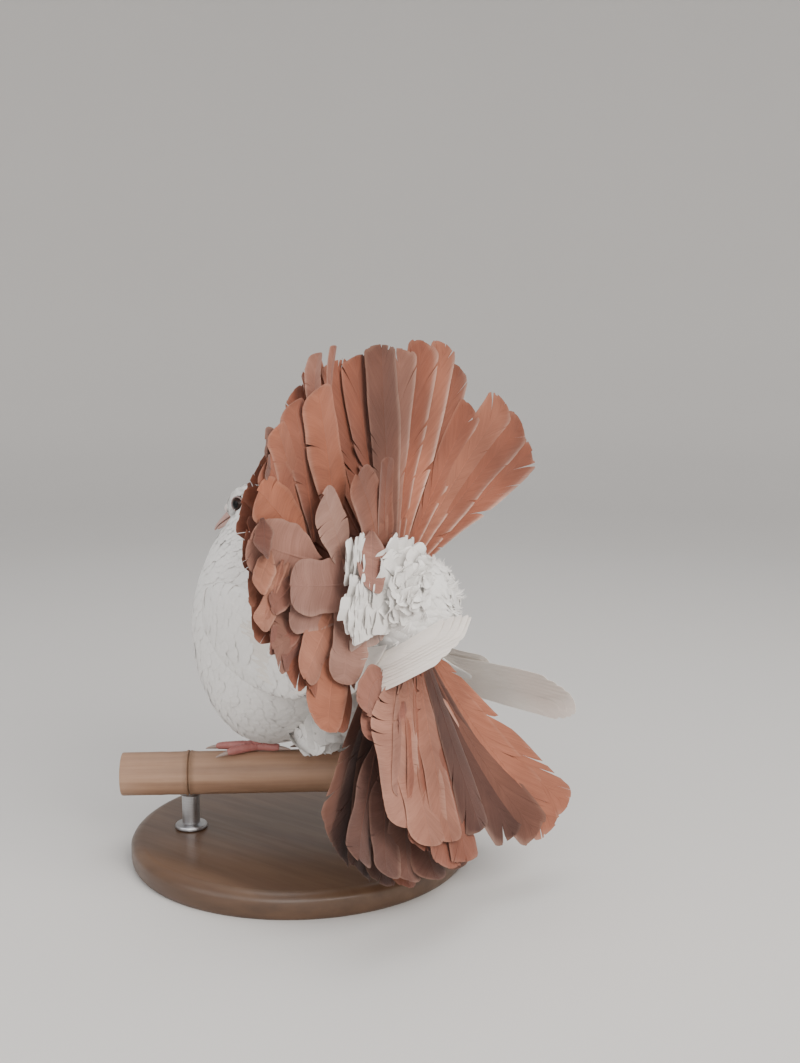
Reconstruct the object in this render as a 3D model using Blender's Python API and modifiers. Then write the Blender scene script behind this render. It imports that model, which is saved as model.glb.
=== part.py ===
"""Fantail pigeon with a raised fan tail, gripping a short bamboo perch on a round wooden stand.

The bird looks along -Y with +Z up and its left side at +X.  Bird dimensions are
in millimetres, measured from the middle of the perch's upper line.
"""
import math
import random

import bmesh
import bpy
from mathutils import Matrix, Vector

MM = 0.001
GAP = 0.3
PERCH_TOP = 58.0

PERCH_RADIUS = 12.0
PERCH_START = -100.0
PERCH_END = 85.0
PERCH_ANGLE = math.radians(40.0)
BASE_RADIUS = 95.0
BASE_THICK = 14.0
ROD_RADIUS = 5.0
ROD_FRONT = -62.0
ROD_REAR = 50.0

EYE_CENTRE = (8.8, -34.0, 139.0)
EYE_RADIUS = 5.0
LID_RADIUS = 4.2
LID_THICK = 0.8
FACE_PITCH = math.radians(16.0)

FEATHER_THICK = 0.8
FLAT_ANGLE = math.radians(0.1)
FEATHER_TILT = 16.0
UPPER_ROOT = (5.0, 70.0, 100.0)
LOWER_LEFT_ROOT = (3.0, 71.0, 95.0)
LOWER_RIGHT_ROOT = (0.0, 71.0, 95.0)

TOE_RADIUS = 2.3
FOOT_ALONG = 24.0

# back Y, back Z, belly Y, belly Z, half width; from the rump to the face
BODY = (
    (66.0, 99.5, 63.5, 70.0, 22.0),
    (54.0, 102.0, 50.0, 51.0, 31.0),
    (38.0, 103.0, 32.0, 29.0, 42.0),
    (23.0, 104.0, 10.0, 11.0, 50.0),
    (11.0, 106.0, -14.0, 3.5, 53.5),
    (2.0, 109.0, -34.0, 14.0, 53.0),
    (-4.0, 113.0, -49.0, 37.0, 50.0),
    (-8.0, 118.0, -57.0, 63.0, 44.5),
    (-11.0, 124.0, -59.0, 86.0, 36.0),
    (-14.0, 130.0, -57.5, 104.0, 27.0),
    (-17.0, 138.0, -53.5, 115.0, 20.5),
    (-20.0, 145.0, -49.0, 121.0, 15.5),
    (-25.0, 149.5, -45.0, 124.5, 13.0),
    (-32.0, 151.0, -44.0, 126.5, 12.2),
    (-40.0, 149.0, -46.0, 127.8, 10.8),
    (-45.5, 144.5, -47.5, 128.3, 8.2),
    (-48.5, 138.5, -48.0, 129.5, 4.8),
)
NECK_FROM = 8.3
NECK_TO = 10.8

# back Y, back Z, belly Y, belly Z, half width of the fluffy tail root
TAIL_ROOT = (
    (66.0, 99.5, 63.5, 70.0, 22.0),
    (68.0, 119.0, 70.0, 66.0, 25.0),
    (80.0, 121.0, 79.0, 64.0, 28.0),
    (92.0, 117.0, 90.0, 69.0, 25.0),
    (100.0, 108.0, 98.0, 76.0, 17.0),
    (103.0, 98.0, 102.0, 85.0, 6.0),
)
TAIL_ROOT_LEAN = 5.0

# centre X, Y, Z, half thickness, half height, roll of the folded wing
LEFT_WING = (
    (43.0, -30.0, 86.0, 2.5, 5.0, 0.0),
    (46.0, -23.0, 84.0, 5.0, 15.0, 0.0),
    (49.0, -8.0, 80.0, 6.5, 23.0, 0.0),
    (49.5, 12.0, 75.0, 7.5, 25.0, 0.0),
    (48.5, 34.0, 70.0, 7.0, 22.0, -8.0),
    (45.5, 56.0, 66.0, 4.6, 16.0, -24.0),
    (41.5, 77.0, 64.5, 3.0, 12.5, -40.0),
    (41.5, 94.0, 70.0, 3.0, 12.5, -38.0),
    (39.0, 112.0, 81.0, 2.4, 12.0, -34.0),
    (34.0, 128.0, 92.0, 1.8, 9.5, -30.0),
    (31.0, 136.0, 97.0, 1.2, 5.0, -30.0),
)
RIGHT_WING = (
    (-43.0, -30.0, 82.0, 2.5, 5.0, 0.0),
    (-46.0, -23.0, 79.0, 5.0, 15.0, 0.0),
    (-49.5, -8.0, 73.0, 6.5, 23.0, 0.0),
    (-51.0, 12.0, 65.0, 7.5, 25.0, 0.0),
    (-51.0, 34.0, 56.0, 7.0, 21.0, 6.0),
    (-50.5, 56.0, 48.5, 4.6, 15.0, 16.0),
    (-50.0, 76.0, 45.0, 3.6, 12.5, 24.0),
    (-48.0, 100.0, 44.5, 3.0, 11.5, 26.0),
    (-45.0, 124.0, 44.5, 2.4, 9.5, 26.0),
    (-42.0, 144.0, 44.0, 1.8, 6.5, 26.0),
    (-40.5, 153.0, 44.0, 1.2, 3.5, 26.0),
)

# angle from upright toward the bird's left, sweep to the rear, length, width, sideways bend, curl to the rear
UPPER_FAN = (
    (-63.0, 2.0, 144.0, 22.0, -4.0, 4.0),
    (-55.0, 2.0, 142.0, 26.0, -4.0, 4.0),
    (-47.0, 1.0, 138.0, 26.0, -4.0, 4.0),
    (-38.0, 0.0, 118.0, 20.0, -4.0, 4.0),
    (-29.0, -1.0, 132.0, 24.0, 0.0, 5.0),
    (-21.0, -1.0, 137.0, 24.0, 0.0, 5.0),
    (-13.0, -1.0, 133.0, 24.0, 0.0, 5.0),
    (-5.0, -2.0, 126.0, 24.0, 0.0, 5.0),
    (4.0, -2.0, 128.0, 28.0, 0.0, 5.0),
    (12.0, -2.0, 125.0, 26.0, -4.0, 5.0),
    (19.0, -2.0, 127.0, 24.0, -6.0, 5.0),
    (26.0, -2.0, 133.0, 18.0, -8.0, 5.0),
    (33.0, -2.0, 128.0, 22.0, -12.0, 5.0),
    (40.0, -2.0, 122.0, 26.0, -18.0, 5.0),
    (47.0, -2.0, 123.0, 26.0, -18.0, 5.0),
    (55.0, -1.0, 124.0, 26.0, -16.0, 5.0),
    (62.0, -1.0, 124.0, 26.0, -12.0, 5.0),
    (70.0, 1.0, 124.0, 26.0, -6.0, 5.0),
    (78.0, 3.0, 121.0, 26.0, 0.0, 5.0),
    (86.0, 5.0, 118.0, 26.0, 2.0, 5.0),
    (94.0, 7.0, 113.0, 26.0, 6.0, 6.0),
    (102.0, 9.0, 104.0, 24.0, 12.0, 8.0),
    (110.0, 10.0, 96.0, 24.0, 20.0, 8.0),
    (118.0, 11.0, 90.0, 26.0, 30.0, 8.0),
    (126.0, 11.0, 96.0, 26.0, 38.0, 8.0),
)
LOWER_LEFT_FAN = (
    (135.0, 11.0, 134.0, 22.0, -26.0, 12.0),
    (141.0, 12.0, 139.0, 25.0, -22.0, 14.0),
    (147.5, 13.0, 143.0, 26.0, -14.0, 14.0),
    (154.5, 14.0, 145.0, 26.0, -8.0, 14.0),
    (162.0, 15.0, 145.0, 26.0, -4.0, 12.0),
    (170.0, 16.0, 140.0, 24.0, 0.0, 10.0),
)
LOWER_LEFT_OVER = (
    (144.0, 21.0, 122.0, 26.0, -6.0, -4.0),
    (152.0, 22.0, 133.0, 28.0, -4.0, -4.0),
    (160.0, 23.0, 138.0, 28.0, 0.0, -4.0),
    (168.0, 24.0, 136.0, 28.0, 2.0, -4.0),
    (176.0, 24.0, 124.0, 24.0, 4.0, -4.0),
)
LOWER_RIGHT_FAN = (
    (-178.5, 25.0, 112.0, 24.0, 13.0, 4.0),
    (-172.2, 27.0, 136.0, 26.0, 20.0, 4.0),
    (-166.0, 28.0, 143.0, 26.0, 22.0, 4.0),
    (-160.0, 29.0, 146.0, 26.0, 22.0, 4.0),
    (-154.0, 29.0, 144.0, 22.0, 22.0, 4.0),
)
COVERT_STEP_BACK = 6.5
COVERT_WIDTH = 29.0

# start and end along the wing, offset across it at both ends, width, lift off its surface at both ends
FLIGHTS = (
    (4.4, 8.6, -5.0, -8.0, 14.0, -1.0, -1.4),
    (4.5, 9.2, -2.0, -3.5, 14.0, -0.4, -0.6),
    (4.5, 9.8, 1.5, 0.0, 14.0, 0.3, 0.2),
    (4.4, 9.4, 5.0, 3.5, 14.0, 1.0, 1.0),
    (4.2, 8.6, 8.5, 7.0, 14.0, 1.7, 1.8),
)
SECONDARIES = (
    (3.2, 6.4, -8.0, -3.0, 16.0, -1.4, 2.4),
    (3.1, 6.8, -1.0, 2.5, 16.0, -0.8, 3.2),
    (2.9, 6.6, 6.0, 7.0, 16.0, -0.2, 4.0),
)
WING_COVERTS = (
    (1.9, 4.1, -13.0, -11.0, 18.0, -2.4, 1.7),
    (1.8, 4.3, -2.5, -2.5, 18.0, -1.6, 2.6),
    (1.8, 4.1, 8.0, 7.0, 18.0, -0.8, 3.5),
)

COLOURS = {
    "white": (0.62, 0.60, 0.57, 1.0),
    "cream": (0.58, 0.52, 0.46, 1.0),
    "rust": (0.36, 0.13, 0.07, 1.0),
    "eye": (0.02, 0.012, 0.01, 1.0),
    "bill": (0.50, 0.33, 0.29, 1.0),
    "pink": (0.46, 0.16, 0.14, 1.0),
    "horn": (0.55, 0.42, 0.36, 1.0),
    "bamboo": (0.42, 0.25, 0.13, 1.0),
    "wood": (0.12, 0.06, 0.03, 1.0),
    "steel": (0.30, 0.30, 0.31, 1.0),
}


def at(x, y, z):
    """Point of the bird in metres above the floor."""
    return Vector((x, y, z + PERCH_TOP)) * MM


def make_material(name, colour, roughness):
    material = bpy.data.materials.new(name)
    material.use_nodes = True
    shader = material.node_tree.nodes["Principled BSDF"]
    shader.inputs["Base Color"].default_value = colour
    shader.inputs["Roughness"].default_value = roughness
    return material


def make_object(name, bm, group):
    """Mesh object with triangles and outward faces in the given collection."""
    bmesh.ops.triangulate(bm, faces=bm.faces[:])
    bmesh.ops.recalc_face_normals(bm, faces=bm.faces[:])
    mesh = bpy.data.meshes.new(name)
    bm.to_mesh(mesh)
    bm.free()
    obj = bpy.data.objects.new(name, mesh)
    group.objects.link(obj)
    return obj


def blend(rows, u):
    """Smooth value of each column at row position u."""
    last = len(rows) - 1
    i = min(max(int(u), 0), last - 1)
    t = u - i
    before = rows[max(i - 1, 0)]
    here = rows[i]
    there = rows[i + 1]
    after = rows[min(i + 2, last)]
    values = []
    for a, b, c, d in zip(before, here, there, after):
        bend = 2.0 * a - 5.0 * b + 4.0 * c - d
        values.append(0.5 * (2.0 * b + (c - a) * t + bend * t * t + (3.0 * (b - c) + d - a) * t ** 3))
    return values


def loft(bm, rings):
    """Closed skin through rings of equal point counts."""
    count = len(rings[0])
    layers = []
    for ring in rings:
        layers.append([bm.verts.new(point) for point in ring])
    for low, high in zip(layers, layers[1:]):
        for i in range(count):
            j = (i + 1) % count
            bm.faces.new((low[i], low[j], high[j], high[i]))
    bm.faces.new(layers[0][::-1])
    bm.faces.new(layers[-1])


def body_ring(row, sides, grow, shift):
    """Oval section between a back point and a belly point."""
    back = Vector((0.0, row[0], row[1]))
    belly = Vector((0.0, row[2], row[3]))
    middle = (back + belly) / 2.0
    rise = (back - belly) / 2.0
    normal = Vector((0.0, rise.z, -rise.y)).normalized()
    reach = rise.length + grow
    rise = rise.normalized() * reach
    half = row[4] + grow
    ring = []
    for i in range(sides):
        angle = 2.0 * math.pi * i / sides
        cross = math.cos(angle)
        climb = math.sin(angle)
        wide = math.copysign(abs(cross) ** 0.94, cross)
        tall = math.copysign(abs(climb) ** 0.94, climb)
        point = middle + Vector((half * wide, 0.0, 0.0)) + rise * tall + normal * shift
        ring.append(at(point.x, point.y, point.z))
    return ring


def body_part(name, start, end, steps, group, sides=24, grow=0.0, ends=(0.0, 0.0)):
    """Length of the bird's body between two station positions."""
    bm = bmesh.new()
    rings = []
    for i in range(steps + 1):
        u = start + (end - start) * i / steps
        shift = ends[0] if i == 0 else ends[1] if i == steps else 0.0
        rings.append(body_ring(blend(BODY, u), sides, grow, shift))
    loft(bm, rings)
    return make_object(name, bm, group)


def cut(obj, tool, mode="DIFFERENCE", solver="EXACT"):
    """Boolean of one object with another, applied."""
    step = obj.modifiers.new("cut", "BOOLEAN")
    step.operation = mode
    step.solver = solver
    step.object = tool
    settle(obj)


def fuse(obj, group, solver="EXACT"):
    """Union of an object with every mesh of a collection, applied."""
    step = obj.modifiers.new("fuse", "BOOLEAN")
    step.operation = "UNION"
    step.solver = solver
    step.operand_type = "COLLECTION"
    step.collection = group
    settle(obj)
    for piece in list(group.objects):
        bpy.data.objects.remove(piece)


def settle(obj):
    """Replace the object's mesh by its finished form."""
    bpy.context.view_layer.update()
    graph = bpy.context.evaluated_depsgraph_get()
    mesh = bpy.data.meshes.new_from_object(obj.evaluated_get(graph))
    obj.modifiers.clear()
    obj.data = mesh


def keep_largest(obj):
    """Keep the one closed surface with the greatest volume."""
    bm = bmesh.new()
    bm.from_mesh(obj.data)
    bmesh.ops.remove_doubles(bm, verts=bm.verts[:], dist=1e-7)
    bmesh.ops.triangulate(bm, faces=bm.faces[:])
    waiting = set(bm.faces)
    islands = []
    while waiting:
        seed = waiting.pop()
        island = [seed]
        front = [seed]
        while front:
            face = front.pop()
            for edge in face.edges:
                for other in edge.link_faces:
                    if other in waiting:
                        waiting.remove(other)
                        island.append(other)
                        front.append(other)
        volume = 0.0
        for face in island:
            a, b, c = (vert.co for vert in face.verts)
            volume += a.dot(b.cross(c)) / 6.0
        islands.append((abs(volume), island))
    islands.sort(key=lambda item: item[0])
    for _, island in islands[:-1]:
        bmesh.ops.delete(bm, geom=island, context="FACES")
    bmesh.ops.delete(bm, geom=[v for v in bm.verts if not v.link_faces], context="VERTS")
    bmesh.ops.dissolve_limit(bm, angle_limit=FLAT_ANGLE, verts=bm.verts[:], edges=bm.edges[:])
    bmesh.ops.triangulate(bm, faces=bm.faces[:])
    bm.to_mesh(obj.data)
    bm.free()


def ball(name, centre, radius, group, segments=24, rings=16, stretch=(1.0, 1.0, 1.0), turn=None):
    """Sphere or ellipsoid about a point of the bird."""
    bm = bmesh.new()
    bmesh.ops.create_uvsphere(bm, u_segments=segments, v_segments=rings, radius=radius * MM)
    matrix = Matrix.Diagonal((*stretch, 1.0))
    if turn:
        matrix = turn.to_4x4() @ matrix
    bmesh.ops.transform(bm, matrix=Matrix.Translation(at(*centre)) @ matrix, verts=bm.verts[:])
    return make_object(name, bm, group)


def ring_pad(name, centre, major, minor, group):
    """Raised ring that lies across the bird's X axis."""
    bpy.ops.mesh.primitive_torus_add(major_segments=16, minor_segments=6, major_radius=major * MM,
                                     minor_radius=minor * MM, location=at(*centre),
                                     rotation=(0.0, math.pi / 2.0, 0.0))
    obj = bpy.context.object
    obj.name = name
    for owner in list(obj.users_collection):
        owner.objects.unlink(obj)
    group.objects.link(obj)
    return obj


def tube(name, points, radii, group, resolution=2):
    """Round bar through bird points with a radius at each."""
    curve = bpy.data.curves.new(name, "CURVE")
    curve.dimensions = "3D"
    curve.bevel_depth = MM
    curve.bevel_resolution = resolution
    curve.use_fill_caps = True
    spline = curve.splines.new("POLY")
    spline.points.add(len(points) - 1)
    for knot, point, radius in zip(spline.points, points, radii):
        place = at(*point)
        knot.co = (place.x, place.y, place.z, 1.0)
        knot.radius = radius
    line = bpy.data.objects.new(name + "_line", curve)
    bpy.context.scene.collection.objects.link(line)
    bpy.context.view_layer.update()
    graph = bpy.context.evaluated_depsgraph_get()
    mesh = bpy.data.meshes.new_from_object(line.evaluated_get(graph))
    bpy.data.objects.remove(line)
    bm = bmesh.new()
    bm.from_mesh(mesh)
    bmesh.ops.remove_doubles(bm, verts=bm.verts[:], dist=1e-6)
    return make_object(name, bm, group)


def turned(name, profile, group, matrix, sides=18):
    """Screw the profile of radius and height pairs about its own axis."""
    bm = bmesh.new()
    verts = [bm.verts.new((radius * MM, 0.0, height * MM)) for radius, height in profile]
    for a, b in zip(verts, verts[1:]):
        bm.edges.new((a, b))
    mesh = bpy.data.meshes.new(name)
    bm.to_mesh(mesh)
    bm.free()
    obj = bpy.data.objects.new(name, mesh)
    group.objects.link(obj)
    screw = obj.modifiers.new("turn", "SCREW")
    screw.axis = "Z"
    screw.steps = sides
    screw.render_steps = sides
    screw.use_merge_vertices = True
    screw.merge_threshold = 0.00001
    settle(obj)
    bm = bmesh.new()
    bm.from_mesh(obj.data)
    bmesh.ops.transform(bm, matrix=matrix, verts=bm.verts[:])
    bmesh.ops.triangulate(bm, faces=bm.faces[:])
    bmesh.ops.recalc_face_normals(bm, faces=bm.faces[:])
    bm.to_mesh(obj.data)
    bm.free()
    return obj


def heading(angle, sweep):
    """Direction of a tail feather from its angle and rearward sweep in degrees."""
    a = math.radians(angle)
    b = math.radians(sweep)
    return Vector((math.sin(a) * math.cos(b), math.sin(b), math.cos(a) * math.cos(b)))


def vane(name, root, row, group, tilt=FEATHER_TILT, start=13.0, segments=5, camber=1.4, set_back=0.0):
    """One tail feather as a thin cambered blade, both faces alike."""
    angle, sweep, length, width, bend, curl = row
    bm = bmesh.new()
    bmesh.ops.create_grid(bm, x_segments=2, y_segments=segments, size=1.0)
    step_count = 60
    steps = []
    place = Vector(root) + heading(angle - bend / 2.0, sweep - curl / 2.0) * start
    for i in range(step_count + 1):
        t = i / step_count
        lean = angle + bend * (t - 0.5)
        back = sweep + curl * (t - 0.5)
        steps.append((place.copy(), lean, back))
        place += heading(lean + bend * 0.5 / step_count, back) * (length - start) / step_count
    for vert in bm.verts:
        u = vert.co.x
        t = (vert.co.y + 1.0) / 2.0
        place, lean, back = steps[round(t * step_count)]
        along = heading(lean, back)
        across = Vector((math.cos(math.radians(lean)), 0.0, -math.sin(math.radians(lean))))
        rear = along.cross(across)
        lean_back = math.radians(tilt * (1.0 - 0.4 * t))
        side = across * math.cos(lean_back) + rear * math.sin(lean_back)
        face = along.cross(side)
        half = width / 2.0 * blade_width(t)
        point = place + side * (u * half) + face * (camber * t * (1.0 - u * u) + set_back)
        point -= along * (length * 0.02 * (t > 0.99) * abs(u))
        vert.co = at(*point)
    bmesh.ops.triangulate(bm, faces=bm.faces[:])
    middle = steps[step_count // 2]
    along = heading(middle[1], middle[2])
    across = Vector((math.cos(math.radians(middle[1])), 0.0, -math.sin(math.radians(middle[1]))))
    offset = along.cross(across) * FEATHER_THICK * MM
    copy = bmesh.ops.extrude_face_region(bm, geom=bm.faces[:])
    raised = [item for item in copy["geom"] if isinstance(item, bmesh.types.BMVert)]
    bmesh.ops.translate(bm, verts=raised, vec=offset)
    return make_object(name, bm, group)


def blade_width(t):
    """Share of a feather's full width from root to tip."""
    rise = 0.14 + 0.86 * math.sin(min(t / 0.72, 1.0) * math.pi / 2.0) ** 1.5
    fall = 1.0 - 0.40 * max(0.0, (t - 0.80) / 0.20) ** 2.4
    return rise * fall


def wing_frame(rows, u):
    """Centre, outward axis, upward axis and half sizes of the wing's section."""
    x, y, z, thick, tall, roll = blend(rows, u)
    turn = math.radians(roll)
    out = Vector((math.cos(turn), 0.0, -math.sin(turn))) * math.copysign(1.0, rows[3][0])
    rise = Vector((math.sin(turn), 0.0, math.cos(turn)))
    return Vector((x, y, z)), out, rise, thick, tall


def wing(name, rows, group, end, steps=15, sides=12):
    """Folded wing's body as a flattened blade from the bend to where the flights leave it."""
    bm = bmesh.new()
    rings = []
    for i in range(steps + 1):
        u = end * i / steps
        centre, out, rise, thick, tall = wing_frame(rows, u)
        slim = 1.0 - 0.72 * max(0.0, (u - 4.2) / (end - 4.2)) ** 1.2
        ring = []
        for k in range(sides):
            angle = 2.0 * math.pi * k / sides
            point = centre + out * (thick * slim * math.cos(angle)) + rise * (tall * slim * math.sin(angle))
            ring.append(at(*point))
        rings.append(ring)
    loft(bm, rings)
    return make_object(name, bm, group)


def wing_feather(name, rows, row, group, segments, lean=0.10):
    """Flight or covert blade that lies along the wing, both faces alike."""
    begin, end, low, high, width, lift, lift_end = row
    bm = bmesh.new()
    bmesh.ops.create_grid(bm, x_segments=2, y_segments=segments, size=1.0)
    for vert in bm.verts:
        side = vert.co.x
        t = (vert.co.y + 1.0) / 2.0
        u = begin + (end - begin) * t - 0.12 * (t > 0.99) * abs(side)
        centre, out, rise, thick, tall = wing_frame(rows, u)
        half = width / 2.0 * (0.35 + 0.65 * min(1.0, t / 0.3)) * (1.0 - 0.42 * max(0.0, (t - 0.75) / 0.25) ** 2.0)
        across = low + (high - low) * t + side * half
        skin = thick * math.sqrt(max(0.0, 1.0 - (across / tall) ** 2)) if u < 5.0 else 0.0
        skin = max(skin, 0.0) * max(0.0, min(1.0, (5.0 - u) / 1.4))
        height = skin + lift + (lift_end - lift) * t - side * half * lean + 0.7 * (1.0 - side * side)
        vert.co = at(*(centre + rise * across + out * height))
    bmesh.ops.triangulate(bm, faces=bm.faces[:])
    centre, out, rise, thick, tall = wing_frame(rows, (begin + end) / 2.0)
    copy = bmesh.ops.extrude_face_region(bm, geom=bm.faces[:])
    raised = [item for item in copy["geom"] if isinstance(item, bmesh.types.BMVert)]
    bmesh.ops.translate(bm, verts=raised, vec=out * -FEATHER_THICK * MM)
    return make_object(name, bm, group)


def slab(name, origin, normal, group, size=400.0):
    """Large block whose one face passes through a bird point, filling the side of the normal."""
    bm = bmesh.new()
    bmesh.ops.create_cube(bm, size=size * MM)
    turn = Vector(normal).to_track_quat("Z", "Y").to_matrix().to_4x4()
    shift = Matrix.Translation(at(*origin)) @ turn @ Matrix.Translation((0.0, 0.0, size * MM / 2.0))
    bmesh.ops.transform(bm, matrix=shift, verts=bm.verts[:])
    return make_object(name, bm, group)


def tail_core(name, group):
    """Fluffy tail root behind the rump."""
    bm = bmesh.new()
    rings = []
    steps = 12
    for i in range(steps + 1):
        u = (len(TAIL_ROOT) - 1) * i / steps
        shift = GAP if i == 0 else 0.0
        lean = Vector((TAIL_ROOT_LEAN * MM * min(1.0, u), 0.0, 0.0))
        rings.append([point + lean for point in body_ring(blend(TAIL_ROOT, u), 26, 0.0, shift)])
    loft(bm, rings)
    return make_object(name, bm, group)


def tilt_side(angle, middle):
    """Which edge of a feather lies toward the rear."""
    if angle == middle:
        return 0.0
    return 1.0 if angle > middle else -1.0


def fan(name, root, rows, over, middle, blocks, group, loose, tools):
    """Tail root with its feathers in two layers, trimmed by the given blocks."""
    core = tail_core(name, group)
    for i, row in enumerate(rows):
        side = tilt_side(row[0], middle)
        vane("%s_vane_%02d" % (name, i), root, row, loose, FEATHER_TILT * side,
             segments=4 if abs(row[4]) < 6.0 else 5, set_back=0.0 if side else 2.5)
    for i, row in enumerate(over):
        side = tilt_side(row[0], middle)
        vane("%s_over_%02d" % (name, i), root, row, loose, FEATHER_TILT * side, segments=4,
             set_back=COVERT_STEP_BACK + (0.0 if side else 2.5))
    fuse(core, loose)
    for i, (origin, normal) in enumerate(blocks):
        tool = slab("%s_block_%d" % (name, i), origin, normal, tools)
        cut(core, tool)
    keep_largest(core)
    return core


def covert_rows(first, last, count, sweep, length):
    """Shorter, rounder feathers spread evenly over the row behind them."""
    short = []
    for i in range(count):
        share = i / (count - 1)
        angle = first + (last - first) * share + random.uniform(-1.5, 1.5)
        short.append((angle, sweep[0] + (sweep[1] - sweep[0]) * share, length * random.uniform(0.84, 1.16),
                      COVERT_WIDTH, random.uniform(-6.0, 6.0), 5.0))
    return short


def perch_point(along, around, height):
    """Point by distance along the pole, turn about it and distance from its axis."""
    x = -math.sin(PERCH_ANGLE) * along + math.cos(PERCH_ANGLE) * math.sin(around) * height
    y = math.cos(PERCH_ANGLE) * along + math.sin(PERCH_ANGLE) * math.sin(around) * height
    z = -PERCH_RADIUS + math.cos(around) * height
    return (x, y, z)


def toe_points(origin, turn, start, length, radius, count=6):
    """Centre line of a toe that wraps the pole; turn is measured from straight along the pole."""
    points = []
    for i in range(count):
        s = start + (length - start) * i / (count - 1)
        height = PERCH_RADIUS + GAP + radius
        lift = 0.5 * math.exp(-s / 5.0)
        along = origin - s * math.cos(turn)
        around = s * math.sin(turn) / height
        points.append(perch_point(along, around, height + lift))
    return points


def foot(side, origin, turns, lengths, flesh, group, loose):
    """Foot with four toes; returns the foot and its claws."""
    hub = perch_point(origin, 0.0, PERCH_RADIUS + GAP + 3.4)
    base = tube(side + "_foot", [hub, (hub[0], hub[1], hub[2] + 3.2)], [3.0, 2.7], group)
    claws = []
    for i, (turn, length) in enumerate(zip(turns, lengths)):
        angle = math.radians(turn)
        points = toe_points(origin, angle, 0.0, length, TOE_RADIUS)
        radii = [2.3, 2.2, 2.25, 2.0, 1.85, 1.55]
        tube("%s_toe_%d" % (side, i), points, radii, loose)
        tip = toe_points(origin, angle, length + GAP, length + 6.5, TOE_RADIUS, 5)
        drop = [0.0, 0.1, 0.0, -0.4, -1.0]
        spine = []
        for point, fall in zip(tip, drop):
            spine.append((point[0], point[1], point[2] + fall * 0.4))
        claws.append(tube("%s_claw_%d" % (side, i + 1), spine, [1.3, 1.15, 0.9, 0.6, 0.22], group, 1))
    fuse(base, loose)
    keep_largest(base)
    return base, claws


def face_point(forward, up, side=0.0):
    """Bird point from distances along and above the line of sight."""
    y = EYE_CENTRE[1] - forward * math.cos(FACE_PITCH) - up * math.sin(FACE_PITCH)
    z = EYE_CENTRE[2] - forward * math.sin(FACE_PITCH) + up * math.cos(FACE_PITCH)
    return (side, y, z)


def bill_half(name, rows, upper, group, sides=12):
    """Half of the bill; rows give forward, edge height, outer height and half width."""
    bm = bmesh.new()
    rings = []
    steps = 10
    for i in range(steps + 1):
        forward, edge, outer, half = blend(rows, (len(rows) - 1) * i / steps)
        ring = []
        for k in range(sides + 1):
            angle = math.pi * k / sides
            ring.append(at(*face_point(forward, edge + (outer - edge) * math.sin(angle) ** 0.8,
                                       half * math.cos(angle))))
        if not upper:
            ring.reverse()
        rings.append(ring)
    loft(bm, rings)
    return make_object(name, bm, group)


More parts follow.
